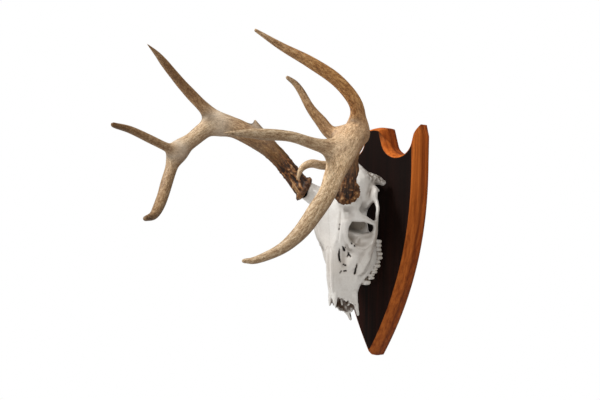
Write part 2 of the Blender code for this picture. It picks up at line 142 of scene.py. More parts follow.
class Grid:
    """Signed distances, in millimetres, on a regular grid."""

    def __init__(self, low, high, step):
        self.low = np.array(low, float)
        self.step = step
        self.shape = np.array([int(math.ceil((b - a) / step)) + 1 for a, b in zip(low, high)])
        self.d = np.full(self.shape, FAR, np.float32)

    def window(self, low, high):
        """The part of the grid between two corners: its slices and its coordinates."""
        first = np.clip(np.floor((np.array(low) - self.low) / self.step).astype(int), 0, self.shape)
        last = np.clip(np.ceil((np.array(high) - self.low) / self.step).astype(int) + 1, 0, self.shape)
        cut = tuple(slice(a, b) for a, b in zip(first, last))
        x, y, z = [self.low[i] + self.step * np.arange(first[i], last[i]) for i in range(3)]
        return cut, (x[:, None, None], y[None, :, None], z[None, None, :])

    def chain_field(self, rows, margin):
        """Distance to a round limb along rows (x, y, z, radius), with the window it fills."""
        rows = np.array(rows, float)
        reach = rows[:, 3].max() + margin
        cut, _ = self.window(rows[:, :3].min(0) - reach, rows[:, :3].max(0) + reach)
        field = np.full([s.stop - s.start for s in cut], FAR, np.float32)
        start = np.array([s.start for s in cut])
        for a, b in zip(rows, rows[1:]):
            reach = max(a[3], b[3]) + margin
            part, (x, y, z) = self.window(np.minimum(a, b)[:3] - reach, np.maximum(a, b)[:3] + reach)
            run = b[:3] - a[:3]
            length = max(1e-9, run @ run)
            t = np.clip(((x - a[0]) * run[0] + (y - a[1]) * run[1] + (z - a[2]) * run[2]) / length, 0, 1)
            dx, dy, dz = x - a[0] - t * run[0], y - a[1] - t * run[1], z - a[2] - t * run[2]
            near = np.sqrt(dx * dx + dy * dy + dz * dz) - (a[3] + t * (b[3] - a[3]))
            own = tuple(slice(s.start - o, s.stop - o) for s, o in zip(part, start))
            field[own] = np.minimum(field[own], near)
        return cut, field

    def add_chain(self, rows, k):
        """Adds a round limb, with a fillet k where it joins."""
        cut, field = self.chain_field(rows, k + BAND)
        self.d[cut] = soft_min(self.d[cut], field, k)

    def carve_chain(self, rows, k):
        cut, field = self.chain_field(rows, k + BAND)
        self.d[cut] = soft_max(self.d[cut], -field, k)

    def axis_window(self, centre, axis, reach):
        """The window round a point, and there the length along an axis and the distance from it."""
        cut, (x, y, z) = self.window(centre - reach, centre + reach)
        x, y, z = x - centre[0], y - centre[1], z - centre[2]
        along = x * axis[0] + y * axis[1] + z * axis[2]
        return cut, along, np.sqrt(np.maximum(0, x ** 2 + y ** 2 + z ** 2 - along ** 2))

    def carve_ball(self, centre, radii, k):
        """Carves an ellipsoid."""
        centre, radii = np.array(centre, float), np.array(radii, float)
        cut, axes = self.window(centre - radii - k - BAND, centre + radii + k + BAND)
        q = np.sqrt(sum(((a - c) / r) ** 2 for a, c, r in zip(axes, centre, radii)))
        self.d[cut] = soft_max(self.d[cut], (1 - q) * radii.min(), k)

    def sample(self, points):
        """The field between grid points."""
        q = (np.asarray(points) - self.low) / self.step
        cell = np.clip(np.floor(q).astype(int), 0, self.shape - 2)
        part = np.clip(q - cell, 0, 1)
        return corner_blend(part, lambda step: self.d[tuple((cell + step).T)])

    def surface(self):
        """Vertices and quads of the zero surface, one vertex in each cell that it crosses."""
        d = self.d
        inside = d < 0
        n = self.shape
        count = np.zeros(n - 1, np.uint8)
        for i, j, k in CORNERS:
            count += inside[i:n[0] - 1 + i, j:n[1] - 1 + j, k:n[2] - 1 + k]
        active = (count > 0) & (count < 8)
        cells = np.argwhere(active)
        number = np.full(n - 1, -1, np.int32)
        number[active] = np.arange(len(cells))
        total = np.zeros((len(cells), 3))
        crossings = np.zeros(len(cells))
        values = {c: d[cells[:, 0] + c[0], cells[:, 1] + c[1], cells[:, 2] + c[2]] for c in CORNERS}
        for a in CORNERS:
            for axis in range(3):
                if a[axis]:
                    continue
                b = tuple(1 if i == axis else a[i] for i in range(3))
                cross = (values[a] < 0) != (values[b] < 0)
                t = values[a][cross] / (values[a][cross] - values[b][cross])
                spot = np.tile(np.array(a, float), (len(t), 1))
                spot[:, axis] += t
                total[cross] += spot
                crossings[cross] += 1
        points = self.low + self.step * (cells + total / crossings[:, None])
        quads = []
        for axis in range(3):
            u, v = [i for i in range(3) if i != axis]
            before = [slice(None)] * 3
            after = [slice(None)] * 3
            before[axis], after[axis] = slice(0, -1), slice(1, None)
            change = inside[tuple(before)] != inside[tuple(after)]
            edge = np.argwhere(change)
            inner = (edge[:, u] > 0) & (edge[:, v] > 0) & (edge[:, u] < n[u] - 1) & (edge[:, v] < n[v] - 1)
            edge = edge[inner]
            out = inside[edge[:, 0], edge[:, 1], edge[:, 2]]
            around = []
            for du, dv in ((1, 1), (0, 1), (0, 0), (1, 0)):
                cell = edge.copy()
                cell[:, u] -= du
                cell[:, v] -= dv
                around.append(number[cell[:, 0], cell[:, 1], cell[:, 2]])
            quad = np.stack(around, 1)
            flip = out if axis != 1 else ~out
            quad[~flip] = quad[~flip][:, ::-1]
            quads.append(quad)
        return points, np.vstack(quads)


def fair(points, quads, rounds, share=0.5):
    """Evens out the vertices over their neighbours."""
    a = quads.ravel()
    b = np.roll(quads, 1, 1).ravel()
    degree = np.bincount(a, minlength=len(points)) + np.bincount(b, minlength=len(points))
    for _ in range(rounds):
        total = np.zeros_like(points)
        for i in range(3):
            total[:, i] = (np.bincount(a, points[b, i], len(points))
                           + np.bincount(b, points[a, i], len(points)))
        points = points + share * (total / degree[:, None] - points)
    return points


def normals_of(points, quads):
    """Vertex normals."""
    p = points[quads]
    face = np.cross(p[:, 2] - p[:, 0], p[:, 3] - p[:, 1])
    total = np.zeros_like(points)
    for corner in range(4):
        for i in range(3):
            total[:, i] += np.bincount(quads[:, corner], face[:, i], len(points))
    return total / np.maximum(1e-12, np.linalg.norm(total, axis=1))[:, None]


def new_object(name, data):
    made = bpy.data.objects.new(name, data)
    bpy.context.scene.collection.objects.link(made)
    return made


def finish_piece(name, mesh, material, values):
    """An object from a mesh, with named numbers or vectors on its vertices for its material."""
    for label, rows in values:
        rows = np.asarray(rows, np.float32)
        kind, slot = ("FLOAT_VECTOR", "vector") if rows.ndim == 2 else ("FLOAT", "value")
        mesh.attributes.new(label, kind, "POINT").data.foreach_set(slot, rows.ravel())
    mesh.materials.append(material)
    mesh.shade_smooth()
    return new_object(name, mesh)


def make_piece(name, points, faces, material, values):
    """A piece from points in millimetres."""
    mesh = bpy.data.meshes.new(name)
    mesh.from_pydata((points * MM).tolist(), [], faces.tolist())
    return finish_piece(name, mesh, material, values)


# Cross-sections from the nose up to the back of the head: z, then height out from the board
# and half-width at the top, at the side and at the base, and the height of the underside
SECTIONS = (
    (-132, 88, 4, 66, 12, 44, 11.5, 40),
    (-110, 92, 5, 70, 13.5, 46, 13, 42),
    (-88, 95, 5.5, 72, 14.5, 47, 14, 43),
    (-66, 99, 7, 72, 18, 42, 20, 44),
    (-50, 100.5, 8, 66, 25, 30, 27, 38),
    (-28, 101, 10, 60, 38, 18, 31, 28),
    (-8, 101.5, 14, 60, 44, 20, 30, 28),
    (6, 102, 22, 62, 35, 22, 29, 30),
    (15, 102.5, 28, 64, 32, 28, 27, 32),
    (23, 103.4, 32, 70, 20, 33, 24, 34),
    (34, 105, 36, 72, 19, 36, 22, 36),
    (48, 106, 35, 70, 24, 38, 24, 36),
    (64, 106, 33, 66, 32.5, 36, 27, 32),
    (84, 100, 27, 62, 37, 30, 30, 24),
    (106, 91, 20, 58, 37, 22, 27, 18),
    (120, 82, 14, 55, 29, 28, 16, 24),
    (130, 76, 10, 56, 19, 38, 10, 34),
    (137, 69, 7, 56, 11, 44, 7, 38),
)
NOSE_END_Z = -92
NOSE_SLOPE = 0.45
NOSE_SKEW = 0.58
NOSE_CAVE_Z = -70
NOSE_WALL = 3.2
NOSE_FLOOR = 4.0

# Bones of the left side, mirrored on the right: x, height, z, radius, then the fillet with
# which they join the body
BONES = (
    (((28, 96, 50, 10), (27, 96, 34, 9), (26, 96, 22, 8), (22, 93, 8, 7), (17, 88, -6, 6.5)), 8),
    (((36, 97, 47, 5.5), (36, 99.5, 34, 4), (35, 99.5, 22, 3.4), (33, 94, 9, 4.2), (34, 85, 0, 5)), 5),
    (((35, 96, 37, 5.5), (37, 91, 43, 6), (40, 84, 42.5, 5), (44, 76, 42, 4)), 4),
    (((37, 89, 55, 9), (43, 77, 46, 6.5), (48, 66, 41.5, 4.8), (52, 54, 36, 3.4)), 5),
    (((34, 85, -3, 4.5), (40, 74, -8, 3.8), (47, 63, -6, 3.4), (52.5, 54, 1, 3.2), (54, 49.5, 16, 2.8),
      (53.5, 50, 36, 2.6)), 4),
    (((41, 52, -16, 7.5), (49, 50, -3, 4.6), (53.5, 47, 22, 3), (53.5, 45.5, 44, 2.7), (53.5, 43, 59, 2.8),
      (49, 42, 70, 3.2), (43, 42, 80, 4.6), (37, 41, 92, 6.4)), 4),
    (((36, 36, 94, 5.5), (41, 30, 90, 2.8)), 4),
    (((30, 48, 66, 7), (37, 45, 75, 6.5), (43, 42, 84, 4.2), (44, 40, 89, 3.2)), 7),
    (((30, 56, -40, 9), (36, 58, -27, 10.5), (42, 58, -15, 8), (46, 57, -5, 5)), 10),
    (((24, 74, -32, 8), (32, 74, -18, 8), (38, 72, -10, 5)), 9),
    (((38, 58, -12, 7), (37, 50, 2, 7), (34, 46, 14, 6)), 6),
    (((34, 57, 12, 5), (43, 52, 15, 4.2), (52, 50, 20.5, 2.8)), 5),
    (((36, 62, 2, 8), (44, 57, 4, 6), (50, 52, 9, 4)), 6),
    (((0, 64, 134, 5), (8, 56, 135, 4), (15, 48, 128.5, 4), (23, 43, 119.5, 3.8), (28, 36, 117, 3.6),
      (33, 29, 113, 3.8), (36, 20, 109, 3.6), (37.5, 11, 105.5, 2.2)), 4),
    (((12, 36, 116, 7), (15, 24, 112, 7), (12, 14, 108, 7)), 3),
    (((26, 30, 110, 8), (32, 21, 107.5, 6.5), (36, 12, 103.5, 4.2)), 4),
    (((13, 32, 6, 4), (12, 26, 22, 3.5), (11, 28, 38, 3), (12, 34, 54, 4)), 5),
)
BASE_OF_SKULL = ((0, 40, 20, 10), (0, 34, 60, 10), (0, 26, 92, 11), (0, 22, 114, 10))
PREMAXILLA_LEFT = ((13, 54, -84, 6.5), (12.5, 50, -96, 5), (11.5, 45, -109, 3.6), (10, 40, -121, 1.9))
PREMAXILLA_RIGHT = ((-13, 54, -84, 7), (-12, 48, -104, 5.5), (-11, 42, -119, 4), (-9.5, 37, -131, 2.4))
NASAL_TIP = ((4, 91, -84, 5), (5, 91.5, -95, 4), (6.5, 91.5, -104, 1.8))
# Thin curled bones inside the nose
TURBINATES = (((5, 82, -78, 2.0), (4.5, 76, -92, 2.2), (3, 72, -103, 1.8)),
              ((8.5, 68, -76, 1.8), (8, 62, -92, 2.2), (6, 58, -102, 2.0), (2, 58, -104, 1.6)))

# Slits and holes of the left side: x, height, z, half-width. Those that start no higher than
# RIGHT_SLITS_BELOW are on the right side too
SLITS = (
    ((29.4, 106.7, 50.2, 0.31), (29.1, 106.7, 44.5, 0.46), (29.0, 106.5, 38, 0.31), (27.4, 106, 32.1, 0.52),
     (25.8, 105.3, 26.3, 0.78), (25.2, 105, 23, 0.41)),
    ((18.0, 96.8, -7, 0.62), (17.5, 96.4, -11.3, 0.88), (16.4, 95.8, -18.6, 1.23), (16.1, 94.1, -25.3, 0.97),
     (16.8, 92.0, -31.1, 0.62)),
    ((22.7, 94.2, -3.5, 1.06), (23.1, 92.1, -6.8, 0.97), (23.7, 90.2, -10.9, 1.14)),
    ((25.4, 90.4, -5.2, 0.88), (25.6, 90.2, -6.0, 0.88)),
    ((26.8, 86, -12.5, 0.7), (27.5, 84.2, -16.6, 1.23), (25.1, 84.9, -21.7, 0.7)),
    ((27.5, 84.2, -16.6, 1.14), (31, 82, -20.8, 0.88)),
    ((32.2, 71.1, -30.8, 0.88), (29.4, 68.9, -38.4, 1.14), (27, 66.8, -45.3, 1.14),
     (24.9, 65.5, -50.4, 1.32)),
    ((14.3, 90.1, -48.7, 0.79), (16.2, 88.8, -45.3, 0.88)),
    ((18.2, 85.4, -45.6, 0.7), (20.2, 81.9, -45.3, 1.32)),
    ((19, 88.2, -34.4, 0.62), (21.4, 84.6, -36, 0.79)),
    ((37.4, 88.2, 1.3, 1.32), (37.7, 88.1, 0.9, 1.32)),
    ((40.0, 83.1, -2.3, 1.58), (40.3, 82.8, -2.6, 1.58)),
)
RIGHT_SLITS_BELOW = 80
SLIT_DEPTHS = (0.0, 1.6, 3.2)
# The hollow at the lower front corner of the orbit
ORBIT_CORNER = ((36.5, 89, 23, 5.5), (38.5, 88.5, 14, 5.2), (39.5, 87.5, 7, 4.2))
# Hollows in the orbit and the temple that get painted shade: centre, radii and strength
SHADED_SOCKETS = (((25, 64, 32), (13, 36, 15), 1.0), ((32, 57, 58), (8, 20, 17), 0.42),
           ((35, 84, 12), (9, 12, 13), 0.55))

# Low ridges and hollows of either side: rise, half-width, then x, height, z
RIDGES = (
    (1.0, 2.8, ((24.5, 106, 44), (22.5, 105.5, 32), (20.5, 105, 20), (17, 103, 6))),
    (0.8, 2.4, ((33, 105, 36), (30.5, 105, 26), (27.5, 103, 14), (24, 100, 4))),
    (-0.8, 2.2, ((29, 106.7, 52), (28.5, 106, 38), (26.5, 105.5, 28), (24, 104.5, 16), (20.5, 102, 4))),
    (1.0, 3.2, ((53, 56, 2), (48, 60, -10), (43, 62, -22), (37, 63, -34), (30, 62, -48), (24, 58, -60))),
    (-0.9, 4.0, ((45, 52, -14), (40, 54, -26), (34, 55, -40), (29, 50, -54))),
    (-1.0, 5.0, ((22, 92, -10), (21, 90, -24), (20, 88, -38))),
    (0.6, 2.0, ((4.5, 102, -14), (4.5, 100.5, -45), (4, 97.5, -80))),
)

# Seams between the bones of either side: strength, then x, height, z
SEAMS = (
    (0.25, ((0, 106, 62), (0.6, 104, 40), (-0.5, 103, 20), (0.4, 102, 5), (0, 102, -9))),
    (0.3, ((0, 102, -9), (0.4, 100, -50), (0, 96, -96))),
    (0.45, ((0, 102, -9), (4, 102, -5), (8, 101, -13))),
    (0.25, ((8, 101, -13), (8.5, 100, -40), (8, 97, -84))),
    (1.3, ((10, 50, 135), (20, 45, 127), (28, 42, 121), (31, 42, 119), (34, 40, 116), (37, 34, 111))),
    # This line along the orbit's lower rim is painted shade in a shallow groove, not a seam
    (0.5, ((36, 84, -3), (41, 74, -8), (47, 64, -7), (53, 55, 0))),
    (0.25, ((30, 74, -20), (36, 66, -26), (38, 60, -36))),
)

# Upper teeth of one side: z, how far the crown reaches out from the board, half-width of the
# row at its outer face, length along the row, and its number of lobes
TEETH = (
    (-65.5, 22, 24, 9, 1),
    (-56, 15.5, 27, 10, 2),
    (-46, 10.5, 29, 10, 2),
    (-34.5, 5, 30.5, 13, 2),
    (-21, -0.5, 30.5, 14, 2),
    (-3.5, 2.5, 31, 21, 3),
)

# Carved ellipsoids, as a centre and radii: the palate and the hole for the spine
PALATE = ((0, 4, -30), (17, 24, 52))
MAGNUM = ((0, 30, 138), (9, 9, 24))

# The grid that the skull is worked out on, and the steps between two of its cross-sections
SKULL_STEP = 1.2
SKULL_LOW = (-60, BOARD_Y - 122, -134)
SKULL_HIGH = (60, BOARD_Y + 2.4, 142)
SECTION_STEPS = 8
# Height of the nose's ridge, from which the broken edge slopes back
NOSE_RIDGE = 95
# How far around an antler's axis the pedicle is trimmed
SEAT_TRIM = 31
# How far into the skin a slit is fully dark with painted shade, then a seam's depth, half-width and waver
SLIT_FADE = 1.6
SEAM_DEPTH = 0.35
SEAM_WIDTH = 0.95
SEAM_WAVER = 1.1
# The rough back of the head lies above this z and below this height, and fades in over these
BACK_Z = 102
BACK_FADE_Z = 6
BACK_HEIGHT = 50
BACK_FADE_HEIGHT = 10
# How far out of the skin the hollows are felt for; the bone gets painted shade by how hollow it lies
HOLLOW_REACHES = (2.0, 5.0, 9.0, 15.0)


def place(rows, side=1):
    """Rows (x, height, z, ...) of the skull in the part's frame."""
    return [(side * x, BOARD_Y - height, z, *rest) for x, height, z, *rest in rows]


def bone(grid, rows, k, side=1, steps=5):
    grid.add_chain(smooth_rows(place(rows, side), steps), k)


def ring_distance(x, h, ring):
    """Signed distance, up to FAR, from points of a plane to a closed outline in it."""
    near = np.full(np.broadcast(x, h).shape, FAR * FAR)
    inside = np.zeros(near.shape, bool)
    for a, b in zip(ring, np.roll(ring, -1, 0)):
        run = b - a
        t = np.clip(((x - a[0]) * run[0] + (h - a[1]) * run[1]) / max(1e-9, run @ run), 0, 1)
        near = np.minimum(near, (x - a[0] - t * run[0]) ** 2 + (h - a[1] - t * run[1]) ** 2)
        if a[1] != b[1]:
            crossing = ((a[1] > h) != (b[1] > h)) & (x < a[0] + run[0] * (h - a[1]) / run[1])
            inside ^= crossing
    near = np.sqrt(near)
    return np.where(inside, -near, near)


def skull_body(grid):
    """The skull's hollow-nosed body, slice by slice."""
    rows = smooth_rows(SECTIONS, SECTION_STEPS)
    x, y, z = [grid.low[i] + grid.step * np.arange(grid.shape[i]) for i in range(3)]
    x = x[:, None]
    h = (BOARD_Y - y)[None, :]
    for k, level in enumerate(z):
        if level < SECTIONS[0][0] or level > SECTIONS[-1][0] + 4:
            continue
        values = [np.interp(level, rows[:, 0], rows[:, i]) for i in range(1, 8)]
        top, top_w, side, side_w, base, base_w, under = values
        half = [(0, top), (top_w, top - 1), (side_w, side), (base_w, base), (0, under)]
        whole = half + [(-a, b) for a, b in reversed(half[1:-1])]
        closed = whole[-1:] + whole + whole[:2]
        slab = ring_distance(x, h, smooth_rows(closed, 4)[4:4 + 4 * len(whole)])
        if level < NOSE_CAVE_Z:
            cave = np.maximum(slab + NOSE_WALL, under + NOSE_FLOOR - h)
            cave = np.maximum(cave, h - (top - NOSE_WALL))
            start = np.clip((NOSE_CAVE_Z - level) / 8.0, 0, 1)
            slab = np.maximum(slab, -(cave + 12 * (1 - start)))
        grid.d[:, :, k] = slab
    spots = np.stack(np.broadcast_arrays(x, h, 0.0), -1)
    ragged = 2.2 * noise(spots, 4.2, 11) + 1.4 * noise(spots, 2.1, 12)
    edge = NOSE_END_Z - NOSE_SLOPE * (NOSE_RIDGE - h) + NOSE_SKEW * x + ragged
    grid.d = np.maximum(grid.d, (edge[:, :, None] - z) * 0.85).astype(np.float32)
    grid.d = np.maximum(grid.d, z - SECTIONS[-1][0] - 1)


def seat(burr):
    """An antler's seat: its centre, and the direction in which the antler leaves."""
    centre = np.array(place([burr])[0])
    side = math.copysign(1, burr[0])
    base = np.array(place([PEDICLE_BASE], side)[0])
    axis = centre - base
    return centre, axis / np.linalg.norm(axis)


def pedicle(grid, burr):
    """The bony stub under an antler, cut off square at its seat."""
    centre, axis = seat(burr)
    base = np.array(place([PEDICLE_BASE], math.copysign(1, burr[0]))[0])
    spots = (base, base + (centre - base) * 0.55, centre)
    rows = [(*spot, radius) for spot, radius in zip(spots, PEDICLE_RADII)]
    grid.add_chain(smooth_rows(rows, 6), 6)
    cut, along, away = grid.axis_window(centre, axis, SEAT_TRIM + BAND)
    block = np.maximum(-BURR_HEIGHT / 2 - GAP - along, away - SEAT_TRIM)
    grid.d[cut] = np.maximum(grid.d[cut], -block)


def tooth(grid, row, side):
    """A cheek tooth: lobes side by side, each with a pointed outer and a blunt inner crescent."""
    z, reach, outer, length, lobes = row
    radius = length / lobes * 0.5
    wide = radius + 0.3
    outside = outer - wide
    tip = outer - wide * 0.9
    inside = outer - 8.6
    for lobe in range(lobes):
        centre = z + (lobe - (lobes - 1) / 2) * length / lobes
        columns = (((outside, reach + 14, centre, wide), (outside, reach + 4.5, centre, wide),
                    (tip, reach + 1.6, centre, radius * 0.6), (tip, reach + 0.5, centre, 0.8)),
                   ((inside, reach + 14, centre, wide), (inside, reach + 4.5, centre, wide),
                    (outer - 7.8, reach + 2.4, centre, radius * 0.5)))
        for rows in columns:
            grid.add_chain(place(rows, side), 0.2)


def settle(grid, spots):
    """Moves points near the skin onto it, and gives the direction out of the skin there."""
    spots = np.array(spots, float)
    for _ in range(4):
        slope = np.stack([grid.sample(spots + step) - grid.sample(spots - step)
                          for step in np.eye(3) * grid.step], 1)
        slope /= np.maximum(1e-6, np.linalg.norm(slope, axis=1))[:, None]
        spots = spots - slope * np.clip(grid.sample(spots), -6, 6)[:, None]
    return spots, slope


def carve_slits(grid):
    """Cuts the slits and small holes of both sides square into the skin."""
    lines = []
    for side in (1, -1):
        for rows in SLITS:
            if side < 0 and rows[0][1] > RIGHT_SLITS_BELOW:
                continue
            path = smooth_rows(place(rows, side), 3)
            spots, out = settle(grid, path[:, :3])
            lines.append((spots, out, path[:, 3]))
    for spots, out, widths in lines:
        for depth in SLIT_DEPTHS:
            grid.carve_chain(np.column_stack((spots - out * depth, widths)), 0)


def line_distance(points, line):
    """Distance from points to an open line."""
    near = np.full(len(points), np.inf)
    for a, b in zip(line, line[1:]):
        run = b - a
        t = np.clip((points - a) @ run / max(1e-9, run @ run), 0, 1)
        near = np.minimum(near, np.linalg.norm(points - a - t[:, None] * run, axis=1))
    return near


def build_skull(material):
    """The whole skull as one skin."""
    grid = Grid(SKULL_LOW, SKULL_HIGH, SKULL_STEP)
    skull_body(grid)
    bone(grid, BASE_OF_SKULL, 6)
    for rows, k in BONES:
        bone(grid, rows, k, 1)
        bone(grid, rows, k, -1)
    for burr in (LEFT_BURR, RIGHT_BURR):
        pedicle(grid, burr)
    for side in (1, -1):
        bone(grid, NASAL_TIP, 2, side)
    bone(grid, PREMAXILLA_LEFT, 3)
    bone(grid, PREMAXILLA_RIGHT, 3)
    grid.carve_ball(place(PALATE[:1])[0], PALATE[1], 5)
    for side in (1, -1):
        grid.carve_chain(place(ORBIT_CORNER, side), 4)
        for row in TEETH:
            tooth(grid, row, side)
    grid.carve_ball(place(MAGNUM[:1])[0], MAGNUM[1], 2)
    for rows in TURBINATES:
        bone(grid, rows, 0.5)
    y = grid.low[1] + grid.step * np.arange(grid.shape[1])
    grid.d = np.maximum(grid.d, (y - BOARD_Y)[None, :, None]).astype(np.float32)
    whole = Grid(SKULL_LOW, SKULL_HIGH, SKULL_STEP)
    whole.d = grid.d.copy()
    carve_slits(grid)
    points, quads = grid.surface()
    return finish_skull(grid, whole, fair(points, quads, 1), quads, material)


def skull_relief(whole, points, back):
    """How far the skin rises or falls at each point, and how much of a seam the point has."""
    seam = np.zeros(len(points))
    for side in (1, -1):
        for strength, rows in SEAMS:
            line, _ = settle(whole, smooth_rows(place(rows, side), 8))
            line = line + SEAM_WAVER * np.stack([noise(line, 3.1, seed) for seed in (23, 24, 25)], 1)
            seam = np.maximum(seam, strength * np.exp(-(line_distance(points, line) / SEAM_WIDTH) ** 2))
    rough = 0.22 * noise(points, 7.0, 21) + 0.12 * noise(points, 3.0, 22) - SEAM_DEPTH * seam
    rough = rough + 0.55 * noise(points, 15.0, 28)
    for rise, width, rows in RIDGES:
        for side in (1, -1):
            line, _ = settle(whole, smooth_rows(place(rows, side), 6))
            rough = rough + rise * np.exp(-(line_distance(points, line) / width) ** 2)
    return rough + back * (1.3 * noise(points, 5.5, 26) + 0.5 * noise(points, 3.0, 27)), seam


def tooth_values(points, height):
    """Which points are on a tooth's crown, and how much painted shade each gets in the cleft between two
    lobes.
    """
    crown = np.zeros(len(points))
    cleft_shade = np.zeros(len(points))
    aside = np.abs(points[:, 0])
    for z, reach, outer, length, lobes in TEETH:
        near = ((np.abs(points[:, 2] - z) < length / 2 + 0.5) & (height < reach + 9)
                & (aside < outer + 1) & (aside > outer - 14))
        crown[near] = np.clip((reach + 9 - height[near]) / 3, 0, 1)
        lobe = ((points[near, 2] - z) / length + 0.5) * lobes
        off = np.abs(lobe - np.round(lobe)) * length / lobes
        cleft_shade[near] = np.exp(-(off / 0.75) ** 2) * crown[near]
    return crown, cleft_shade


def finish_skull(grid, whole, points, quads, material):
    """The skin's relief, and the values that its colours follow."""
    normal = normals_of(points, quads)
    # Painted shade, near black, deep in the slits and holes
    slit_shade = np.clip(-whole.sample(points) / SLIT_FADE, 0, 1)
    height = BOARD_Y - points[:, 1]
    back = (np.clip((points[:, 2] - BACK_Z) / BACK_FADE_Z, 0, 1)
            * np.clip((BACK_HEIGHT - height) / BACK_FADE_HEIGHT, 0, 1))
    rough, seam = skull_relief(whole, points, back)
    points = points + normal * rough[:, None]
    hollow = np.zeros(len(points))
    for reach in HOLLOW_REACHES:
        hollow += np.clip(1 - grid.sample(points + normal * reach) / reach, 0, 1) / len(HOLLOW_REACHES)
    rows = smooth_rows(SECTIONS, SECTION_STEPS)
    roof = np.interp(points[:, 2], rows[:, 0], rows[:, 1])
    # The nose's dark inside: the dried tissue's own brown, with painted shade deep in the cave
    cave = np.clip((NOSE_CAVE_Z + 2 - points[:, 2]) / 3, 0, 1) * np.clip(hollow * 9 - 1.2, 0, 1)
    cave = cave * (height < roof - 1.5)
    for rows in TURBINATES:
        line = smooth_rows(place(rows), 5)
        cave = cave * (0.1 + 0.9 * np.clip(line_distance(points, line[:, :3]) - 2.2, 0, 1))
    # Painted shade inside the orbits and the temple hollows
    folded = np.column_stack((np.abs(points[:, 0]), height, points[:, 2]))
    socket = np.zeros(len(points))
    for centre, radii, strength in SHADED_SOCKETS:
        inside = 1 - np.linalg.norm((folded - centre) / radii, axis=1)
        socket = np.maximum(socket, strength * np.clip(3 * inside, 0, 1))
    crown, cleft_shade = tooth_values(points, height)
    values = (("hollow", hollow), ("crown", crown), ("slit_shade", slit_shade), ("seam", seam), ("cave", cave),
              ("socket", socket), ("cleft_shade", cleft_shade), ("back", back))
    return make_piece("skull_skin", points, quads, material, values)


# Antlers, as rows (aside, out, up, diameter) from the burr's centre; aside points away from the other antler
LEFT_BEAM = ((12, 11, 15, 30), (25, 24, 34, 28), (46, 42, 60, 29), (79, 64, 78, 30), (108, 95, 86, 31),
             (130, 130, 73, 34), (140, 156, 49, 36), (140, 171, 21, 29), (138, 183, -7, 25),
             (131, 197, -31, 25), (120, 214, -60, 22), (104, 236, -85, 16), (84, 264, -101, 11),
             (73, 278, -103, 6.5))
LEFT_TINES = {
    "upper": ((109, 91, 83, 28), (119, 102, 103, 24), (129, 121, 128, 20), (126, 156, 156, 19),
              (113, 196, 178, 17), (95, 235, 197, 11.5), (81.5, 273, 216.5, 5)),
    "middle": ((123, 132, 77, 26), (108, 148, 82, 20), (99, 161, 99, 17), (90, 173, 117, 13),
               (81, 182, 139, 11), (74, 189, 152, 9), (67.5, 198, 160, 6)),
    "forward": ((137, 159, 57, 30), (131, 199, 61, 18), (121, 240, 70, 15), (107, 276, 71, 16),
                (97, 303, 71, 11), (86, 329, 70, 2.5)),
    "brow": ((28, 19, 37, 16), (36, 61, 40, 15), (32, 87, 39, 14), (27, 107, 41, 13), (22, 121, 34, 10),
             (20, 127, 21, 6), (20, 126, 15, 3)),
}
RIGHT_BEAM = ((11, 4, 13, 30), (25, 14, 33, 29), (40, 24, 53, 29), (56, 38, 72, 31), (74, 55, 88, 34),
              (93, 76, 101, 34), (108, 93, 107, 33), (119, 115, 100, 29), (129, 139, 79, 26),
              (136, 158, 63, 29), (137, 171, 42, 24), (135, 179, 25, 20), (129, 191, 3, 20),
              (120, 204, -17, 19), (105, 223, -36, 18), (88, 245, -50, 14), (72, 271, -55, 8.5))
RIGHT_TINES = {
    "upper": ((110, 95, 105, 28), (123, 108, 125, 24), (127, 124, 139, 20), (127, 145, 154, 19),
              (119, 171, 168, 17), (107, 200, 183, 15), (95, 226, 196, 13), (86, 246, 206, 9),
              (79, 270, 218, 2)),
    "forward": ((134, 165, 57, 24), (130, 192, 63, 15), (119, 235, 74, 14), (102, 283, 84, 12),
                (86, 321, 87, 9), (82.5, 328, 88, 6.5)),
    "spur": ((62, 37, 79, 14), (63, 45, 95, 8), (63, 57, 114, 2)),
}
ANTLER_STEP = 1.3
ANTLER_WEB = 18
# The side on which the antlers are darker, partly stain and partly painted shade away from the key light:
# down, to the wall and to the deer's left
STAIN_AND_SHADE_SIDE = np.array((0.47, 0.50, -0.73))
# Colour along each beam and tine: share of its length, warmth and lightness
LEFT_LOOKS = {
    "beam": ((0, 0.9, 0.4), (0.12, 0.9, 0.6), (0.22, 0.8, 1.2), (0.4, 0.6, 1.5), (0.52, 0.35, 1.7),
             (0.62, 0.2, 1.6), (0.7, 0.2, 1.15), (0.85, 0.2, 0.9), (1, 0.2, 0.9)),
    "upper": ((0, 0.8, 1.4), (0.3, 1.0, 1.4), (0.6, 1.0, 1.25), (0.85, 0.75, 1.05), (1, 0.4, 1.1)),
    "middle": ((0, 0.6, 1.05), (0.5, 0.8, 0.9), (1, 0.4, 0.9)),
    "forward": ((0, 0.4, 1.05), (0.4, 0.2, 0.95), (0.8, 0.2, 0.8), (1, 0.2, 0.75)),
    "brow": ((0, 0.8, 0.6), (0.35, 0.6, 0.8), (0.55, 0.2, 1.15), (1, 0.2, 1.3)),
}
RIGHT_LOOKS = {
    "beam": ((0, 1.0, 0.25), (0.15, 1.0, 0.38), (0.28, 0.9, 0.55), (0.42, 0.2, 1.05), (0.6, 0.2, 0.95),
             (0.75, 0.5, 0.72), (0.92, 0.6, 0.58), (1, 0.7, 0.4)),
    "upper": ((0, 0.3, 1.05), (0.3, 0.75, 0.92), (0.7, 0.85, 0.8), (1, 0.5, 0.95)),
    "forward": ((0, 0.4, 1.0), (0.4, 0.5, 0.95), (0.75, 0.7, 0.75), (1, 0.9, 0.4)),
    "spur": ((0, 0.7, 0.6), (1, 0.4, 1.0)),
}

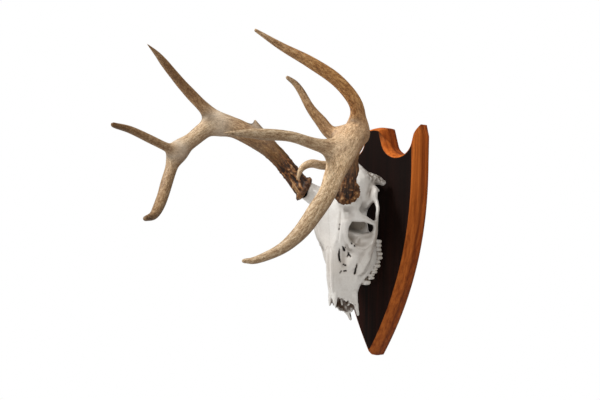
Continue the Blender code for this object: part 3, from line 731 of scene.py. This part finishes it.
# The burr: its ring's steps, how far that lies inside the edge, how thick it is, and the knobs
BURR_RING_STEPS = 48
BURR_RING_INSET = 6.8
BURR_RING_RADIUS = 4.4
BURR_KNOBS = 30
# How far round the seat the antler's root is cut off flat
ROOT_WINDOW = 36
# Furrows, coarse and fine: how closely they lie round a limb and along it, then the step that
# they add to the seed, and their depth
FURROWS = ((13.0, 0.13, 1, 0.75), (24.0, 0.2, 2, 0.35))
FURROW_SIZE = 3.0
PEARL_SIZE = 3.4
# How far furrows and pearls may rise together
MOST_RELIEF = 1.1
# How fast a limb's say over the skin falls with its distance: for relief, then for colour
RELIEF_REACH = 2.2
COLOUR_REACH = 6.0
# Lengths along a limb: how fast its base grows smooth, where the pearls and the dark stain start
# to fade and how fast the stain does, and how long the glossier tip is
ROUGH_LENGTH = 60.0
PEARLS_FROM = 30
DARK_FROM = 42
DARK_LENGTH = 30.0
TIP_LENGTH = 70.0
# How far out of the skin pits are felt for, which get painted shade
PIT_REACH = 2.5


def antler_path(rows, burr, root=False):
    """The centre line of a beam or tine, as rows (x, y, z, radius), a step every few millimetres."""
    centre, axis = seat(burr)
    side = math.copysign(1, burr[0])
    path = [(centre[0] + side * x, centre[1] - out, centre[2] + up, wide / 2) for x, out, up, wide in rows]
    if root:
        path = [(*(centre - axis * 4), ROOT_RADIUS), (*(centre + axis * 1.5), ROOT_RADIUS - 1)] + path
    return smooth_rows(path, 6)


def along_path(path, points):
    """For each point: its distance to the path's skin, length along the path, radius there,
    and its direction from the centre line in a frame carried along the path."""
    best = np.full(len(points), np.inf)
    length = np.zeros(len(points))
    radius = np.zeros(len(points))
    cross = np.zeros((len(points), 2))
    run_length = 0.0
    tangent = path[1, :3] - path[0, :3]
    tangent /= np.linalg.norm(tangent)
    u = np.cross(tangent, (0.0, 0.0, 1.0))
    u /= np.linalg.norm(u)
    for a, b in zip(path, path[1:]):
        run = b[:3] - a[:3]
        size = np.linalg.norm(run)
        if size < 1e-6:
            continue
        tangent = run / size
        u = u - tangent * (u @ tangent)
        u /= np.linalg.norm(u)
        v = np.cross(tangent, u)
        offset = points - a[:3]
        t = np.clip(offset @ run / size ** 2, 0, 1)
        offset = offset - t[:, None] * run
        away = np.linalg.norm(offset, axis=1)
        here = a[3] + t * (b[3] - a[3])
        closer = away - here < best
        best[closer] = (away - here)[closer]
        length[closer] = (run_length + t * size)[closer]
        radius[closer] = here[closer]
        cross[closer] = np.stack((offset @ u, offset @ v), 1)[closer]
        run_length += size
    return best, length, radius, cross, run_length


def burr_knobs(grid, burr, seed):
    """The crown of knobs round the antler's base."""
    centre, axis = seat(burr)
    draw = np.random.RandomState(seed)
    u = np.cross(axis, (0.0, 0.0, 1.0))
    u /= np.linalg.norm(u)
    v = np.cross(axis, u)
    ring = []
    for i in range(BURR_RING_STEPS + 1):
        angle = math.tau * i / BURR_RING_STEPS
        out = u * math.cos(angle) + v * math.sin(angle)
        ring.append((*(centre + out * (BURR_RADIUS - BURR_RING_INSET) - axis), BURR_RING_RADIUS))
    grid.add_chain(ring, 3)
    for i in range(BURR_KNOBS):
        angle = math.tau * (i + 0.6 * draw.rand()) / BURR_KNOBS
        size = 1.7 + 1.1 * draw.rand()
        reach = BURR_RADIUS - size - 0.2 - 0.7 * draw.rand()
        lift = -2.2 + 4.4 * draw.rand()
        out = u * math.cos(angle) + v * math.sin(angle)
        inner = centre + out * (reach - 5) + axis * (lift + 1.5)
        outer = centre + out * reach + axis * lift
        grid.add_chain([(*inner, size + 0.4), (*outer, size)], 0.4)


def build_antler(name, burr, beam, tines, looks, paleness, material, seed):
    """One antler as one skin: beam, tines and burr."""
    paths = [antler_path(beam, burr, True)] + [antler_path(rows, burr) for rows in tines.values()]
    looks = [looks["beam"]] + [looks[tine] for tine in tines]
    spots, radii = np.hsplit(np.vstack(paths), [3])
    centre, axis = seat(burr)
    room = BURR_RADIUS + 3
    low = np.min([spots.min(0) - 6, (spots - radii).min(0) - 4, centre - room], 0)
    high = np.max([spots.max(0) + 6, (spots + radii).max(0) + 4, centre + room], 0)
    grid = Grid(low, high, ANTLER_STEP)
    for path in paths:
        grid.add_chain(path, ANTLER_WEB)
    burr_knobs(grid, burr, seed)
    cut, along, _ = grid.axis_window(centre, axis, ROOT_WINDOW)
    grid.d[cut] = np.maximum(grid.d[cut], -BURR_HEIGHT / 2 - along)
    points, quads = grid.surface()
    points = fair(points, quads, 2)
    return finish_antler(name, grid, points, quads, paths, looks, paleness, material, seed, centre, axis)


def shares_of(gaps, reach):
    """Each limb's share in every point, by how near the point is to the limb's skin."""
    shares = np.exp(-np.clip(gaps, 0, 60) / reach)
    return shares / shares.sum(0)


def finish_antler(name, grid, points, quads, paths, looks, paleness, material, seed, centre, axis):
    """Grooves, pearls and colour values, each laid along the beam or tine it belongs to."""
    gaps, reliefs, grains, tips, tones = [], [], [], [], []
    for i, path in enumerate(paths):
        gap, length, radius, cross, total = along_path(path, points)
        around = cross / np.maximum(1e-6, np.linalg.norm(cross, axis=1))[:, None]
        if i == 0:
            beam_length = length
        shifted = length + 300.0 * i
        ridges = 0.0
        for turns, stretch, step, depth in FURROWS:
            groove = np.column_stack((around * turns, shifted * stretch))
            ridges = ridges + noise(groove, FURROW_SIZE, seed + step) * depth
        near_root = np.exp(-length / ROUGH_LENGTH) if i == 0 else 0.0
        toward_tip = np.clip(length / total, 0, 1)
        strength = (0.42 + 1.6 * near_root) * (1 - toward_tip ** 3) * np.clip((radius / 11) ** 1.6, 0.02, 1.1)
        gaps.append(gap)
        reliefs.append(ridges * strength)
        grains.append(np.column_stack((shifted, cross)))
        tips.append(np.clip((total - length) / TIP_LENGTH, 0, 1))
        look = np.array(looks[i])
        tones.append([np.interp(toward_tip, look[:, 0], look[:, k]) for k in (1, 2)])
    weights = shares_of(gaps, RELIEF_REACH)
    shares = shares_of(gaps, COLOUR_REACH)
    warm, light = [(shares * np.array([tone[k] for tone in tones])).sum(0) for k in (0, 1)]
    relief = (weights * np.array(reliefs)).sum(0)
    grain = np.array(grains)[weights.argmax(0), np.arange(len(points))]
    tip = (weights * np.array(tips)).sum(0)
    junction = np.clip(2 * (1 - shares.max(0)), 0, 1) * paleness
    pearl_zone = np.exp(-np.clip(beam_length - PEARLS_FROM, 0, None) / ROUGH_LENGTH) * weights[0]
    pearls = np.clip(noise(points, PEARL_SIZE, seed + 3), 0, 1) ** 1.2 * 1.6
    from_seat = (points - centre) @ axis
    away = np.linalg.norm(points - centre - from_seat[:, None] * axis, axis=1)
    relief = np.minimum(relief + pearls * pearl_zone, MOST_RELIEF)
    relief[from_seat < -BURR_HEIGHT / 2 + 1.2] = 0
    normal = normals_of(points, quads)
    stain_and_shade = np.clip(normal @ STAIN_AND_SHADE_SIDE, 0, 1) ** 1.5
    pit_shade = np.clip(1 - grid.sample(points + normal * PIT_REACH) / PIT_REACH, 0, 1)
    burr = np.clip((away - ROOT_RADIUS + 1.0) / 3.0, 0, 1) * (np.abs(from_seat) < 9)
    dark = np.exp(-np.clip(beam_length - DARK_FROM, 0, None) / DARK_LENGTH)
    base = np.where(weights[0] > 0.3, dark, 0.0)
    # Painted shade on the side of the burr and the dark base that faces the other antler, weaker on the paler
    # antler
    inner = np.clip(0.25 - math.copysign(1, centre[0]) * normal[:, 0], 0, 1) * np.maximum(base, burr)
    inner = inner * (1.1 - 0.75 * paleness)
    values = (("grain", grain), ("relief", relief), ("tip", tip), ("junction", junction),
              ("base", base), ("burr", burr), ("pit_shade", pit_shade), ("warm", warm), ("light", light),
              ("stain_and_shade", stain_and_shade), ("inner", inner))
    return make_piece(name, points + normal * relief[:, None], quads, material, values)


# The mesh of the plaque's front: the distances of its rings from the outline, where the fine grid
# on a barb starts, its step, and how far below the tip the barb's ridge starts
BEVEL_RINGS = (0.5, 1.1, 1.8, 2.6, 3.5, 4.4, 5.3, 6.0, 6.5, 7.1)
BARB_X = 66.0
BARB_Z = 150.0
BARB_STEP = 1.3
BARB_RIDGE = 24
# Steps along each part of the outline
STEM_STEPS = 6
NOTCH_STEPS = 40
SIDE_STEPS = 60
# How far out from the wall the edge has its lines, and the back's share of the outline's size
EDGE_LINES = (PLAQUE_THICKNESS - BEVEL_DEPTH - 1.2, 9.0, 1.5)
BACK_SHARE = 0.992
# Where the stained face begins, inside the outline
STAIN_FROM = 6.2
# Turns sharper than this are shaded as edges
SHARP_EDGE = math.radians(28)


def plaque_outline():
    """The closed outline, right half from the stem's top round to the point, then its mirror."""
    points = [(0.0, STEM_TOP_Z + STEM_CROWN)]
    for i in range(1, STEM_STEPS + 1):
        x = STEM_HALF_WIDTH * i / STEM_STEPS
        points.append((x, STEM_TOP_Z + STEM_CROWN * (1 - (i / STEM_STEPS) ** 2)))
    for i in range(NOTCH_STEPS + 1):
        turn = NOTCH_SWEEP * (2 * i / NOTCH_STEPS - 1)
        points.append((NOTCH_CENTRE_X + NOTCH_HALF_WIDTH * math.sin(turn),
                       NOTCH_BOTTOM_Z + NOTCH_RISE * (1 - math.cos(turn))))
    points.append((BARB_TIP_X, BARB_TIP_Z))
    points.append((PLAQUE_HALF_WIDTH, BARB_TIP_Z - 0.25 * (BARB_TIP_Z - PLAQUE_WIDEST_Z)))
    end = PLAQUE_POINT_Z + PLAQUE_POINT_CUT
    for i in range(SIDE_STEPS + 1):
        z = PLAQUE_WIDEST_Z + (end - PLAQUE_WIDEST_Z) * i / SIDE_STEPS
        fall = max(0.0, (PLAQUE_WIDEST_Z - z) / (PLAQUE_WIDEST_Z - PLAQUE_POINT_Z))
        points.append((PLAQUE_HALF_WIDTH * (1 - fall ** PLAQUE_SIDE_POWER), z))
    return np.array(points + [(-x, z) for x, z in reversed(points) if x > 0])


def outline_distance(spots, outline):
    """Distance from points to the closed outline."""
    return line_distance(spots, np.vstack((outline, outline[:1])))


def inset_ring(outline, inset):
    """Points at one distance inside the outline, where there is room for them."""
    back = outline - np.roll(outline, 1, 0)
    ahead = np.roll(outline, -1, 0) - outline
    back /= np.linalg.norm(back, axis=1)[:, None]
    ahead /= np.linalg.norm(ahead, axis=1)[:, None]
    inward = np.column_stack((back[:, 1] + ahead[:, 1], -back[:, 0] - ahead[:, 0]))
    inward /= np.linalg.norm(inward, axis=1)[:, None]
    lean = np.maximum(0.5, (inward * np.column_stack((back[:, 1], -back[:, 0]))).sum(1))
    spots = outline + inward * (inset / lean)[:, None]
    return spots[outline_distance(spots, outline) > inset * 0.985]


def front_height(distance):
    """How far the front stands out from the wall at a distance from the edge."""
    share = np.clip(distance / BEVEL_INSET, 0, 1)
    return PLAQUE_THICKNESS - BEVEL_DEPTH * (1 - np.sin(share * math.pi / 2) ** 0.9)


def barb_ridge(outline):
    """Points along the middle of either barb, where its two bevels meet."""
    ridge = []
    for z in np.arange(BARB_TIP_Z - BARB_RIDGE, BARB_TIP_Z - 1, 1.0):
        xs = np.linspace(NOTCH_CENTRE_X + NOTCH_HALF_WIDTH * 0.9, PLAQUE_HALF_WIDTH, 60)
        depth = outline_distance(np.column_stack((xs, np.full(60, z))), outline)
        best = depth.argmax()
        if depth[best] < BEVEL_INSET:
            ridge += [(xs[best], z), (-xs[best], z)]
    return np.array(ridge)


def barb_mesh(outline):
    """A fine grid of points on both barbs."""
    xs, zs = np.meshgrid(np.arange(BARB_X, PLAQUE_HALF_WIDTH, BARB_STEP),
                         np.arange(BARB_Z, BARB_TIP_Z, BARB_STEP))
    dense = np.column_stack((xs.ravel(), zs.ravel()))
    inside = ring_distance(dense[:, 0], dense[:, 1], outline) < 0
    dense = dense[(outline_distance(dense, outline) > 0.8) & inside]
    return np.vstack([dense, dense * (-1, 1)])


def build_plaque(material):
    """The board: a finely cut front with its bevel, a straight edge and a flat back."""
    outline = plaque_outline()
    count = len(outline)
    rings = [inset_ring(outline, inset) for inset in BEVEL_RINGS]
    spots = np.vstack([outline] + rings + [barb_mesh(outline), barb_ridge(outline)])
    edges = [(i, (i + 1) % count) for i in range(count)]
    flat, _, faces, *_ = delaunay_2d_cdt([Vector(p) for p in spots.tolist()], edges, [], 1, 0.0001)
    flat = np.array([tuple(p) for p in flat])
    distance = outline_distance(flat, outline)
    distance[:count] = 0
    rows = [np.column_stack((flat[:, 0], -front_height(distance), flat[:, 1]))]
    rows += [np.column_stack((outline[:, 0], np.full(count, -d), outline[:, 1])) for d in EDGE_LINES]
    back = outline * BACK_SHARE
    rows.append(np.column_stack((back[:, 0], np.zeros(count), back[:, 1])))
    points = np.vstack(rows)
    front = len(flat)
    loops = [list(range(count))] + [list(range(front + r * count, front + (r + 1) * count))
                                    for r in range(len(rows) - 1)]
    polygons = [list(f) for f in faces]
    for upper, lower in zip(loops, loops[1:]):
        for i, j in edges:
            polygons.append([upper[i], upper[j], lower[j], lower[i]])
    polygons.append(loops[-1])
    stain, bevel, crease = np.zeros((3, len(points)))
    stain[:front] = np.clip((distance - STAIN_FROM) / 0.5, 0, 1)
    bevel[:front] = np.clip(distance / 0.6, 0, 1)
    crease[:front] = np.clip(1 - distance / 0.9, 0, 1)
    crease[front:front + count] = 1
    crease[-2 * count:] = 1
    mesh = bpy.data.meshes.new("plaque_board")
    bm = bmesh.new()
    verts = [bm.verts.new(p) for p in points * MM]
    for polygon in polygons:
        bm.faces.new([verts[i] for i in polygon])
    bmesh.ops.recalc_face_normals(bm, faces=bm.faces)
    bmesh.ops.triangulate(bm, faces=[f for f in bm.faces if len(f.verts) > 4])
    bm.to_mesh(mesh)
    bm.free()
    values = (("stain", stain), ("bevel", bevel), ("crease", crease))
    made = finish_piece("plaque_board", mesh, material, values)
    mesh.set_sharp_from_angle(angle=SHARP_EDGE)
    return made


class Nodes:
    """Short calls for building the nodes of a material or of the world."""

    def __init__(self, owner, shader="Principled BSDF"):
        owner.use_nodes = True
        self.owner = owner
        self.tree = owner.node_tree
        self.shader = self.tree.nodes[shader]

    def put(self, socket, value):
        if isinstance(value, bpy.types.NodeSocket):
            self.tree.links.new(value, socket)
        else:
            socket.default_value = value

    def make(self, kind, output, inputs, **settings):
        """Adds a node with these inputs, linked or set, and gives one of its outputs."""
        node = self.tree.nodes.new(kind)
        for key, value in settings.items():
            setattr(node, key, value)
        for slot, value in inputs.items():
            self.put(node.inputs[slot], value)
        return node.outputs[output]

    def attribute(self, name, output="Fac"):
        return self.make("ShaderNodeAttribute", output, {}, attribute_name=name)

    def position(self):
        return self.make("ShaderNodeTexCoord", "Object", {})

    def upward(self, vector):
        return self.make("ShaderNodeSeparateXYZ", "Z", {0: vector})

    def scaled(self, vector, scale):
        return self.make("ShaderNodeVectorMath", 0, {0: vector, 1: scale}, operation="MULTIPLY")

    def noise(self, vector, scale, detail=3.0, roughness=0.55, distortion=0.0):
        return self.make("ShaderNodeTexNoise", "Fac", {"Vector": vector, "Scale": scale, "Detail": detail,
                                                       "Roughness": roughness, "Distortion": distortion})

    def cells(self, vector, scale):
        return self.make("ShaderNodeTexVoronoi", "Distance", {"Vector": vector, "Scale": scale}, feature="F1")

    def ramp(self, value, *stops):
        """Colours, or greys given as numbers, at places from 0 to 1."""
        made = self.make("ShaderNodeValToRGB", "Color", {0: value})
        elements = made.node.color_ramp.elements
        while len(elements) < len(stops):
            elements.new(0.5)
        for element, (share, colour) in zip(elements, stops):
            element.position = share
            element.color = (*colour, 1) if isinstance(colour, tuple) else (colour, colour, colour, 1)
        return made

    def math(self, operation, *values):
        return self.make("ShaderNodeMath", 0, dict(enumerate(values)), operation=operation)

    def mix(self, factor, a, b, blend="MIX"):
        a, b = [(*value, 1.0) if isinstance(value, tuple) else value for value in (a, b)]
        return self.make("ShaderNodeMix", 2, {0: factor, 6: a, 7: b}, data_type="RGBA", blend_type=blend)

    def bump(self, height, strength, distance):
        return self.make("ShaderNodeBump", "Normal", {"Height": height, "Strength": strength,
                                                      "Distance": distance})

    def shade(self, values):
        """Sets or links the shader's inputs by name, and gives back what it belongs to."""
        for name, value in values.items():
            self.put(self.shader.inputs[name], value)
        return self.owner


def bone_material():
    m = Nodes(bpy.data.materials.new("bleached_bone"))
    spot = m.position()
    broad = m.noise(spot, 16, 3)
    fine = m.noise(spot, 420, 4)
    pores = m.ramp(m.noise(spot, 300, 3), (0.40, 0.15), (0.56, 0.92))
    colour = m.ramp(broad, (0.3, (0.70, 0.665, 0.625)), (0.62, (0.81, 0.797, 0.775)))
    colour = m.mix(m.ramp(fine, (0.35, 0.0), (0.75, 0.22)), colour, (0.54, 0.48, 0.41))
    # Painted shade: the bone turns a darker warm brown the deeper it lies in a hollow
    hollow_shade = m.ramp(m.attribute("hollow"), (0.06, 0.0), (0.28, 0.42), (0.6, 0.82), (1.0, 0.95))
    colour = m.mix(hollow_shade, colour, (0.19, 0.14, 0.10))
    # The orbits and the temple hollows get painted shade
    for name, share, tone in (("socket", 0.85, (0.105, 0.077, 0.047)), ("back", pores, (0.13, 0.10, 0.075)),
                              # The clefts between the teeth's lobes get painted shade
                              ("crown", 0.3, (0.72, 0.64, 0.50)), ("cleft_shade", 0.75, (0.10, 0.065, 0.04)),
                              # The nose's inside is its dried tissue's dark brown with painted shade in it
                              ("cave", 0.95, (0.085, 0.042, 0.02)), ("seam", 0.55, (0.22, 0.17, 0.13)),
                              # Deep in the slits and holes: painted shade, near black
                              ("slit_shade", 1.0, (0.022, 0.02, 0.018))):
        colour = m.mix(m.math("MULTIPLY", m.attribute(name), share), colour, tone)
    return m.shade({"Base Color": colour, "Roughness": m.ramp(broad, (0.3, 0.38), (0.7, 0.26)),
                    "Specular IOR Level": 0.5, "Coat Weight": 0.3, "Coat Roughness": 0.16,
                    "Normal": m.bump(m.noise(spot, 300, 4), 0.25, 0.0006)})


def antler_material():
    m = Nodes(bpy.data.materials.new("antler_horn"))
    grain = m.attribute("grain", "Vector")
    streak = m.noise(m.scaled(grain, (0.12, 0.33, 0.33)), 1.0, 5, 0.66)
    fleck = m.noise(m.scaled(grain, (0.50, 0.75, 0.75)), 1.0, 4, 0.7)
    warm = m.ramp(streak, (0.30, (0.13, 0.048, 0.013)), (0.44, (0.33, 0.15, 0.048)),
                  (0.58, (0.54, 0.29, 0.108)), (0.72, (0.70, 0.43, 0.185)))
    pale = m.ramp(streak, (0.30, (0.25, 0.15, 0.08)), (0.42, (0.49, 0.355, 0.215)),
                  (0.56, (0.70, 0.56, 0.38)), (0.70, (0.84, 0.73, 0.56)))
    colour = m.mix(m.attribute("warm"), pale, warm)
    colour = m.mix(m.ramp(fleck, (0.48, 0.0), (0.64, 0.8)), colour, (0.15, 0.07, 0.025))
    colour = m.mix(m.math("MULTIPLY", m.attribute("junction"), 0.5), colour, (0.68, 0.61, 0.51))
    # The side of the antlers away from the key light is darker brown: partly stain, partly painted shade
    colour = m.mix(m.ramp(m.attribute("stain_and_shade"), (0.12, 0.0), (0.75, 0.62)), colour, (0.13, 0.062, 0.024))
    colour = m.mix(1.0, colour, m.math("MULTIPLY_ADD", m.attribute("light"), 0.85, 0.12), "MULTIPLY")
    level = m.math("MULTIPLY_ADD", m.attribute("relief"), 0.36, 0.5)
    colour = m.mix(m.ramp(level, (0.15, 0.85), (0.45, 0.0)), colour, (0.075, 0.033, 0.012))
    brown = m.ramp(level, (0.28, (0.010, 0.004, 0.002)), (0.5, (0.070, 0.023, 0.007)),
                   (0.72, (0.27, 0.105, 0.032)), (1.0, (0.66, 0.42, 0.21)))
    furrow = m.noise(m.scaled(grain, (0.07, 0.62, 0.62)), 1.0, 3, 0.6)
    brown = m.mix(m.ramp(furrow, (0.40, 0.9), (0.49, 0.0)), brown, (0.008, 0.004, 0.002))
    brown = m.mix(m.ramp(furrow, (0.58, 0.0), (0.66, 0.55)), brown, (0.44, 0.22, 0.085))
    colour = m.mix(m.ramp(m.attribute("base"), (0.10, 0.0), (0.65, 0.96)), colour, brown)
    knob = m.ramp(m.noise(m.position(), 210, 3), (0.38, (0.060, 0.018, 0.006)), (0.5, (0.23, 0.088, 0.024)),
                  (0.66, (0.66, 0.38, 0.15)))
    pearl = m.ramp(m.cells(m.position(), 235), (0.12, (0.74, 0.45, 0.20)), (0.36, (0.26, 0.095, 0.027)),
                   (0.55, (0.030, 0.011, 0.005)))
    knob = m.mix(0.6, knob, pearl)
    knob = m.mix(m.ramp(m.noise(m.position(), 45, 1), (0.42, 0.75), (0.56, 0.0)), knob, (0.05, 0.018, 0.007))
    colour = m.mix(m.ramp(m.attribute("burr"), (0.25, 0.0), (0.8, 0.9)), colour, knob)
    # The burr and base's side facing the other antler gets painted shade
    colour = m.mix(m.ramp(m.attribute("inner"), (0.15, 0.0), (0.75, 0.72)), colour, (0.028, 0.011, 0.005))
    # The pits between knobs and furrows get painted shade
    colour = m.mix(m.ramp(m.attribute("pit_shade"), (0.2, 0.0), (0.6, 0.92)), colour, (0.016, 0.007, 0.003))
    return m.shade({"Base Color": colour, "Specular IOR Level": 0.24,
                    "Roughness": m.ramp(m.attribute("tip"), (0.0, 0.36), (0.8, 0.52)),
                    "Normal": m.bump(m.mix(0.5, streak, fleck), 0.5, 0.0009)})


def wood_material():
    m = Nodes(bpy.data.materials.new("stained_wood"))
    spot = m.position()
    long_grain = m.noise(m.scaled(spot, (1.0, 1.0, 0.03)), 190, 4, 0.6, 0.2)
    pores = m.noise(m.scaled(spot, (1.0, 1.0, 0.02)), 1100, 3, 0.6)
    bands = m.noise(m.scaled(spot, (1.0, 1.0, 0.04)), 55, 2, 0.5, 0.5)
    rise = m.math("MULTIPLY_ADD", m.upward(spot), 2.5, 0.5)
    edge = m.ramp(long_grain, (0.32, (0.26, 0.044, 0.006)), (0.5, (0.49, 0.106, 0.015)),
                  (0.7, (0.70, 0.185, 0.030)))
    edge = m.mix(m.ramp(bands, (0.42, 0.0), (0.62, 0.45)), edge, (0.20, 0.036, 0.005))
    light = m.mix(m.ramp(long_grain, (0.35, 0.2), (0.65, 0.6)), edge, (0.76, 0.215, 0.038))
    edge = m.mix(m.attribute("bevel"), edge, light)
    # Painted light: the edge lighter towards the top and darker towards the bottom
    edge = m.mix(1.0, edge, m.ramp(rise, (0.0, 0.56), (0.55, 0.78), (0.96, 1.0)), "MULTIPLY")
    edge = m.mix(m.math("MULTIPLY", m.attribute("crease"), 0.45), edge, (0.06, 0.012, 0.003))
    face = m.ramp(long_grain, (0.35, (0.0040, 0.0018, 0.0013)), (0.55, (0.0085, 0.0033, 0.0022)),
                  (0.75, (0.034, 0.0078, 0.0045)))
    face = m.mix(m.ramp(bands, (0.42, 0.0), (0.66, 0.7)), face, (0.026, 0.0068, 0.0040))
    # Painted shade: the face darker and plainer towards the top
    face = m.mix(m.ramp(rise, (0.15, 0.0), (0.9, 0.75)), face, (0.0062, 0.0030, 0.0024))
    colour = m.mix(m.attribute("stain"), edge, face)
    colour = m.mix(m.ramp(pores, (0.52, 0.0), (0.72, 0.35)), colour, (0.006, 0.002, 0.001))
    return m.shade({"Base Color": colour, "Specular IOR Level": 0.09,
                    "Roughness": m.ramp(pores, (0.3, 0.46), (0.7, 0.62)),
                    "Normal": m.bump(m.mix(0.4, long_grain, pores), 0.3, 0.0004)})


def floor_material():
    m = Nodes(bpy.data.materials.new("pale_floor"))
    tone = m.noise(m.position(), 3, 2)
    return m.shade({"Base Color": m.ramp(tone, (0.3, 0.8865), (0.7, 0.9)), "Roughness": 0.8})


# The camera at the photo's viewpoint, in metres, with its lens and sensor in millimetres
CAMERA_AT = (1.183258, -1.339048, 0.051609)
CAMERA_RIGHT = (0.69031231, 0.72320884, 0.02092578)
CAMERA_UP = (-0.00600617, -0.02319335, 0.99971296)
CAMERA_LOOK = (-0.72348659, 0.69023984, 0.01166694)
CAMERA_LENS = 60.63
SENSOR_WIDTH = 36.0
# The floor, in metres
FLOOR_Z = -0.95
FLOOR_RADIUS = 2.6
# Greys of the surroundings, from straight down (0) over the horizon (0.5) to straight up (1)
SKY_BANDS = ((0.0, 0.35), (0.36, 0.7), (0.39, 1.0), (1.0, 1.0))
# Tint and power of the light that they give, and power with which the camera sees them
STUDIO_TINT = (1.0, 0.955, 0.90)
STUDIO_POWER = 0.27
BACKGROUND_POWER = 1.0
# The soft lights: place, size, power and colour, all aimed at one point
AIM = Vector((0.0, -0.2, 0.03))
LIGHTS = {
    "key": ((-0.9, -2.0, 2.2), 0.7, 92, (1.0, 0.985, 0.96)),
    "fill": ((1.9, -0.9, 1.7), 0.9, 21, (1.0, 0.97, 0.93)),
}


def add_camera():
    data = bpy.data.cameras.new("camera")
    data.lens = CAMERA_LENS
    data.sensor_width = SENSOR_WIDTH
    data.sensor_fit = "HORIZONTAL"
    data.clip_end = 100.0
    camera = new_object("camera", data)
    axes = Matrix((CAMERA_RIGHT, CAMERA_UP, tuple(-c for c in CAMERA_LOOK))).transposed().to_4x4()
    camera.matrix_world = Matrix.Translation(CAMERA_AT) @ axes
    bpy.context.scene.camera = camera


def add_lights():
    """A key light from the front and the viewer's left and a weaker fill from the right, both above."""
    for name, (at, size, power, colour) in LIGHTS.items():
        data = bpy.data.lights.new(name, "AREA")
        data.shape = "SQUARE"
        data.size = size
        data.energy = power
        data.color = colour
        lamp = new_object(name, data)
        lamp.location = at
        lamp.rotation_euler = (AIM - Vector(at)).to_track_quat("-Z", "Y").to_euler()


def add_floor():
    bm = bmesh.new()
    bmesh.ops.create_circle(bm, cap_ends=True, segments=96, radius=FLOOR_RADIUS)
    mesh = bpy.data.meshes.new("floor")
    bm.to_mesh(mesh)
    bm.free()
    mesh.materials.append(floor_material())
    floor = new_object("floor", mesh)
    floor.location = (0, -0.25, FLOOR_Z)


def add_studio():
    """White surroundings, grey below, that light the object more dimly and warmly than they look."""
    sky = Nodes(bpy.data.worlds.new("studio"), "Background")
    direction = sky.make("ShaderNodeTexCoord", "Generated", {})
    seen = sky.make("ShaderNodeLightPath", "Is Camera Ray", {})
    colour = sky.ramp(sky.math("MULTIPLY_ADD", sky.upward(direction), 0.5, 0.5), *SKY_BANDS)
    colour = sky.mix(1.0, colour, sky.mix(seen, STUDIO_TINT, (1.0, 1.0, 1.0)), "MULTIPLY")
    power = sky.math("MULTIPLY_ADD", seen, BACKGROUND_POWER - STUDIO_POWER, STUDIO_POWER)
    bpy.context.scene.world = sky.shade({"Color": colour, "Strength": power})
    bpy.context.scene.view_settings.view_transform = "Standard"


add_camera()
add_floor()
add_studio()
add_lights()

horn = antler_material()
plaque = build_plaque(wood_material())
skull = build_skull(bone_material())
left = build_antler("antler_left_skin", LEFT_BURR, LEFT_BEAM, LEFT_TINES, LEFT_LOOKS, 0.2, horn, 31)
right = build_antler("antler_right_skin", RIGHT_BURR, RIGHT_BEAM, RIGHT_TINES, RIGHT_LOOKS, 1.0, horn, 57)

for piece, node, slot in ((plaque, "plaque", "stained_wood"), (skull, "skull", "bleached_bone"),
                          (left, "antler_left", "antler"), (right, "antler_right", "antler")):
    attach(piece, "root")
    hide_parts(node)
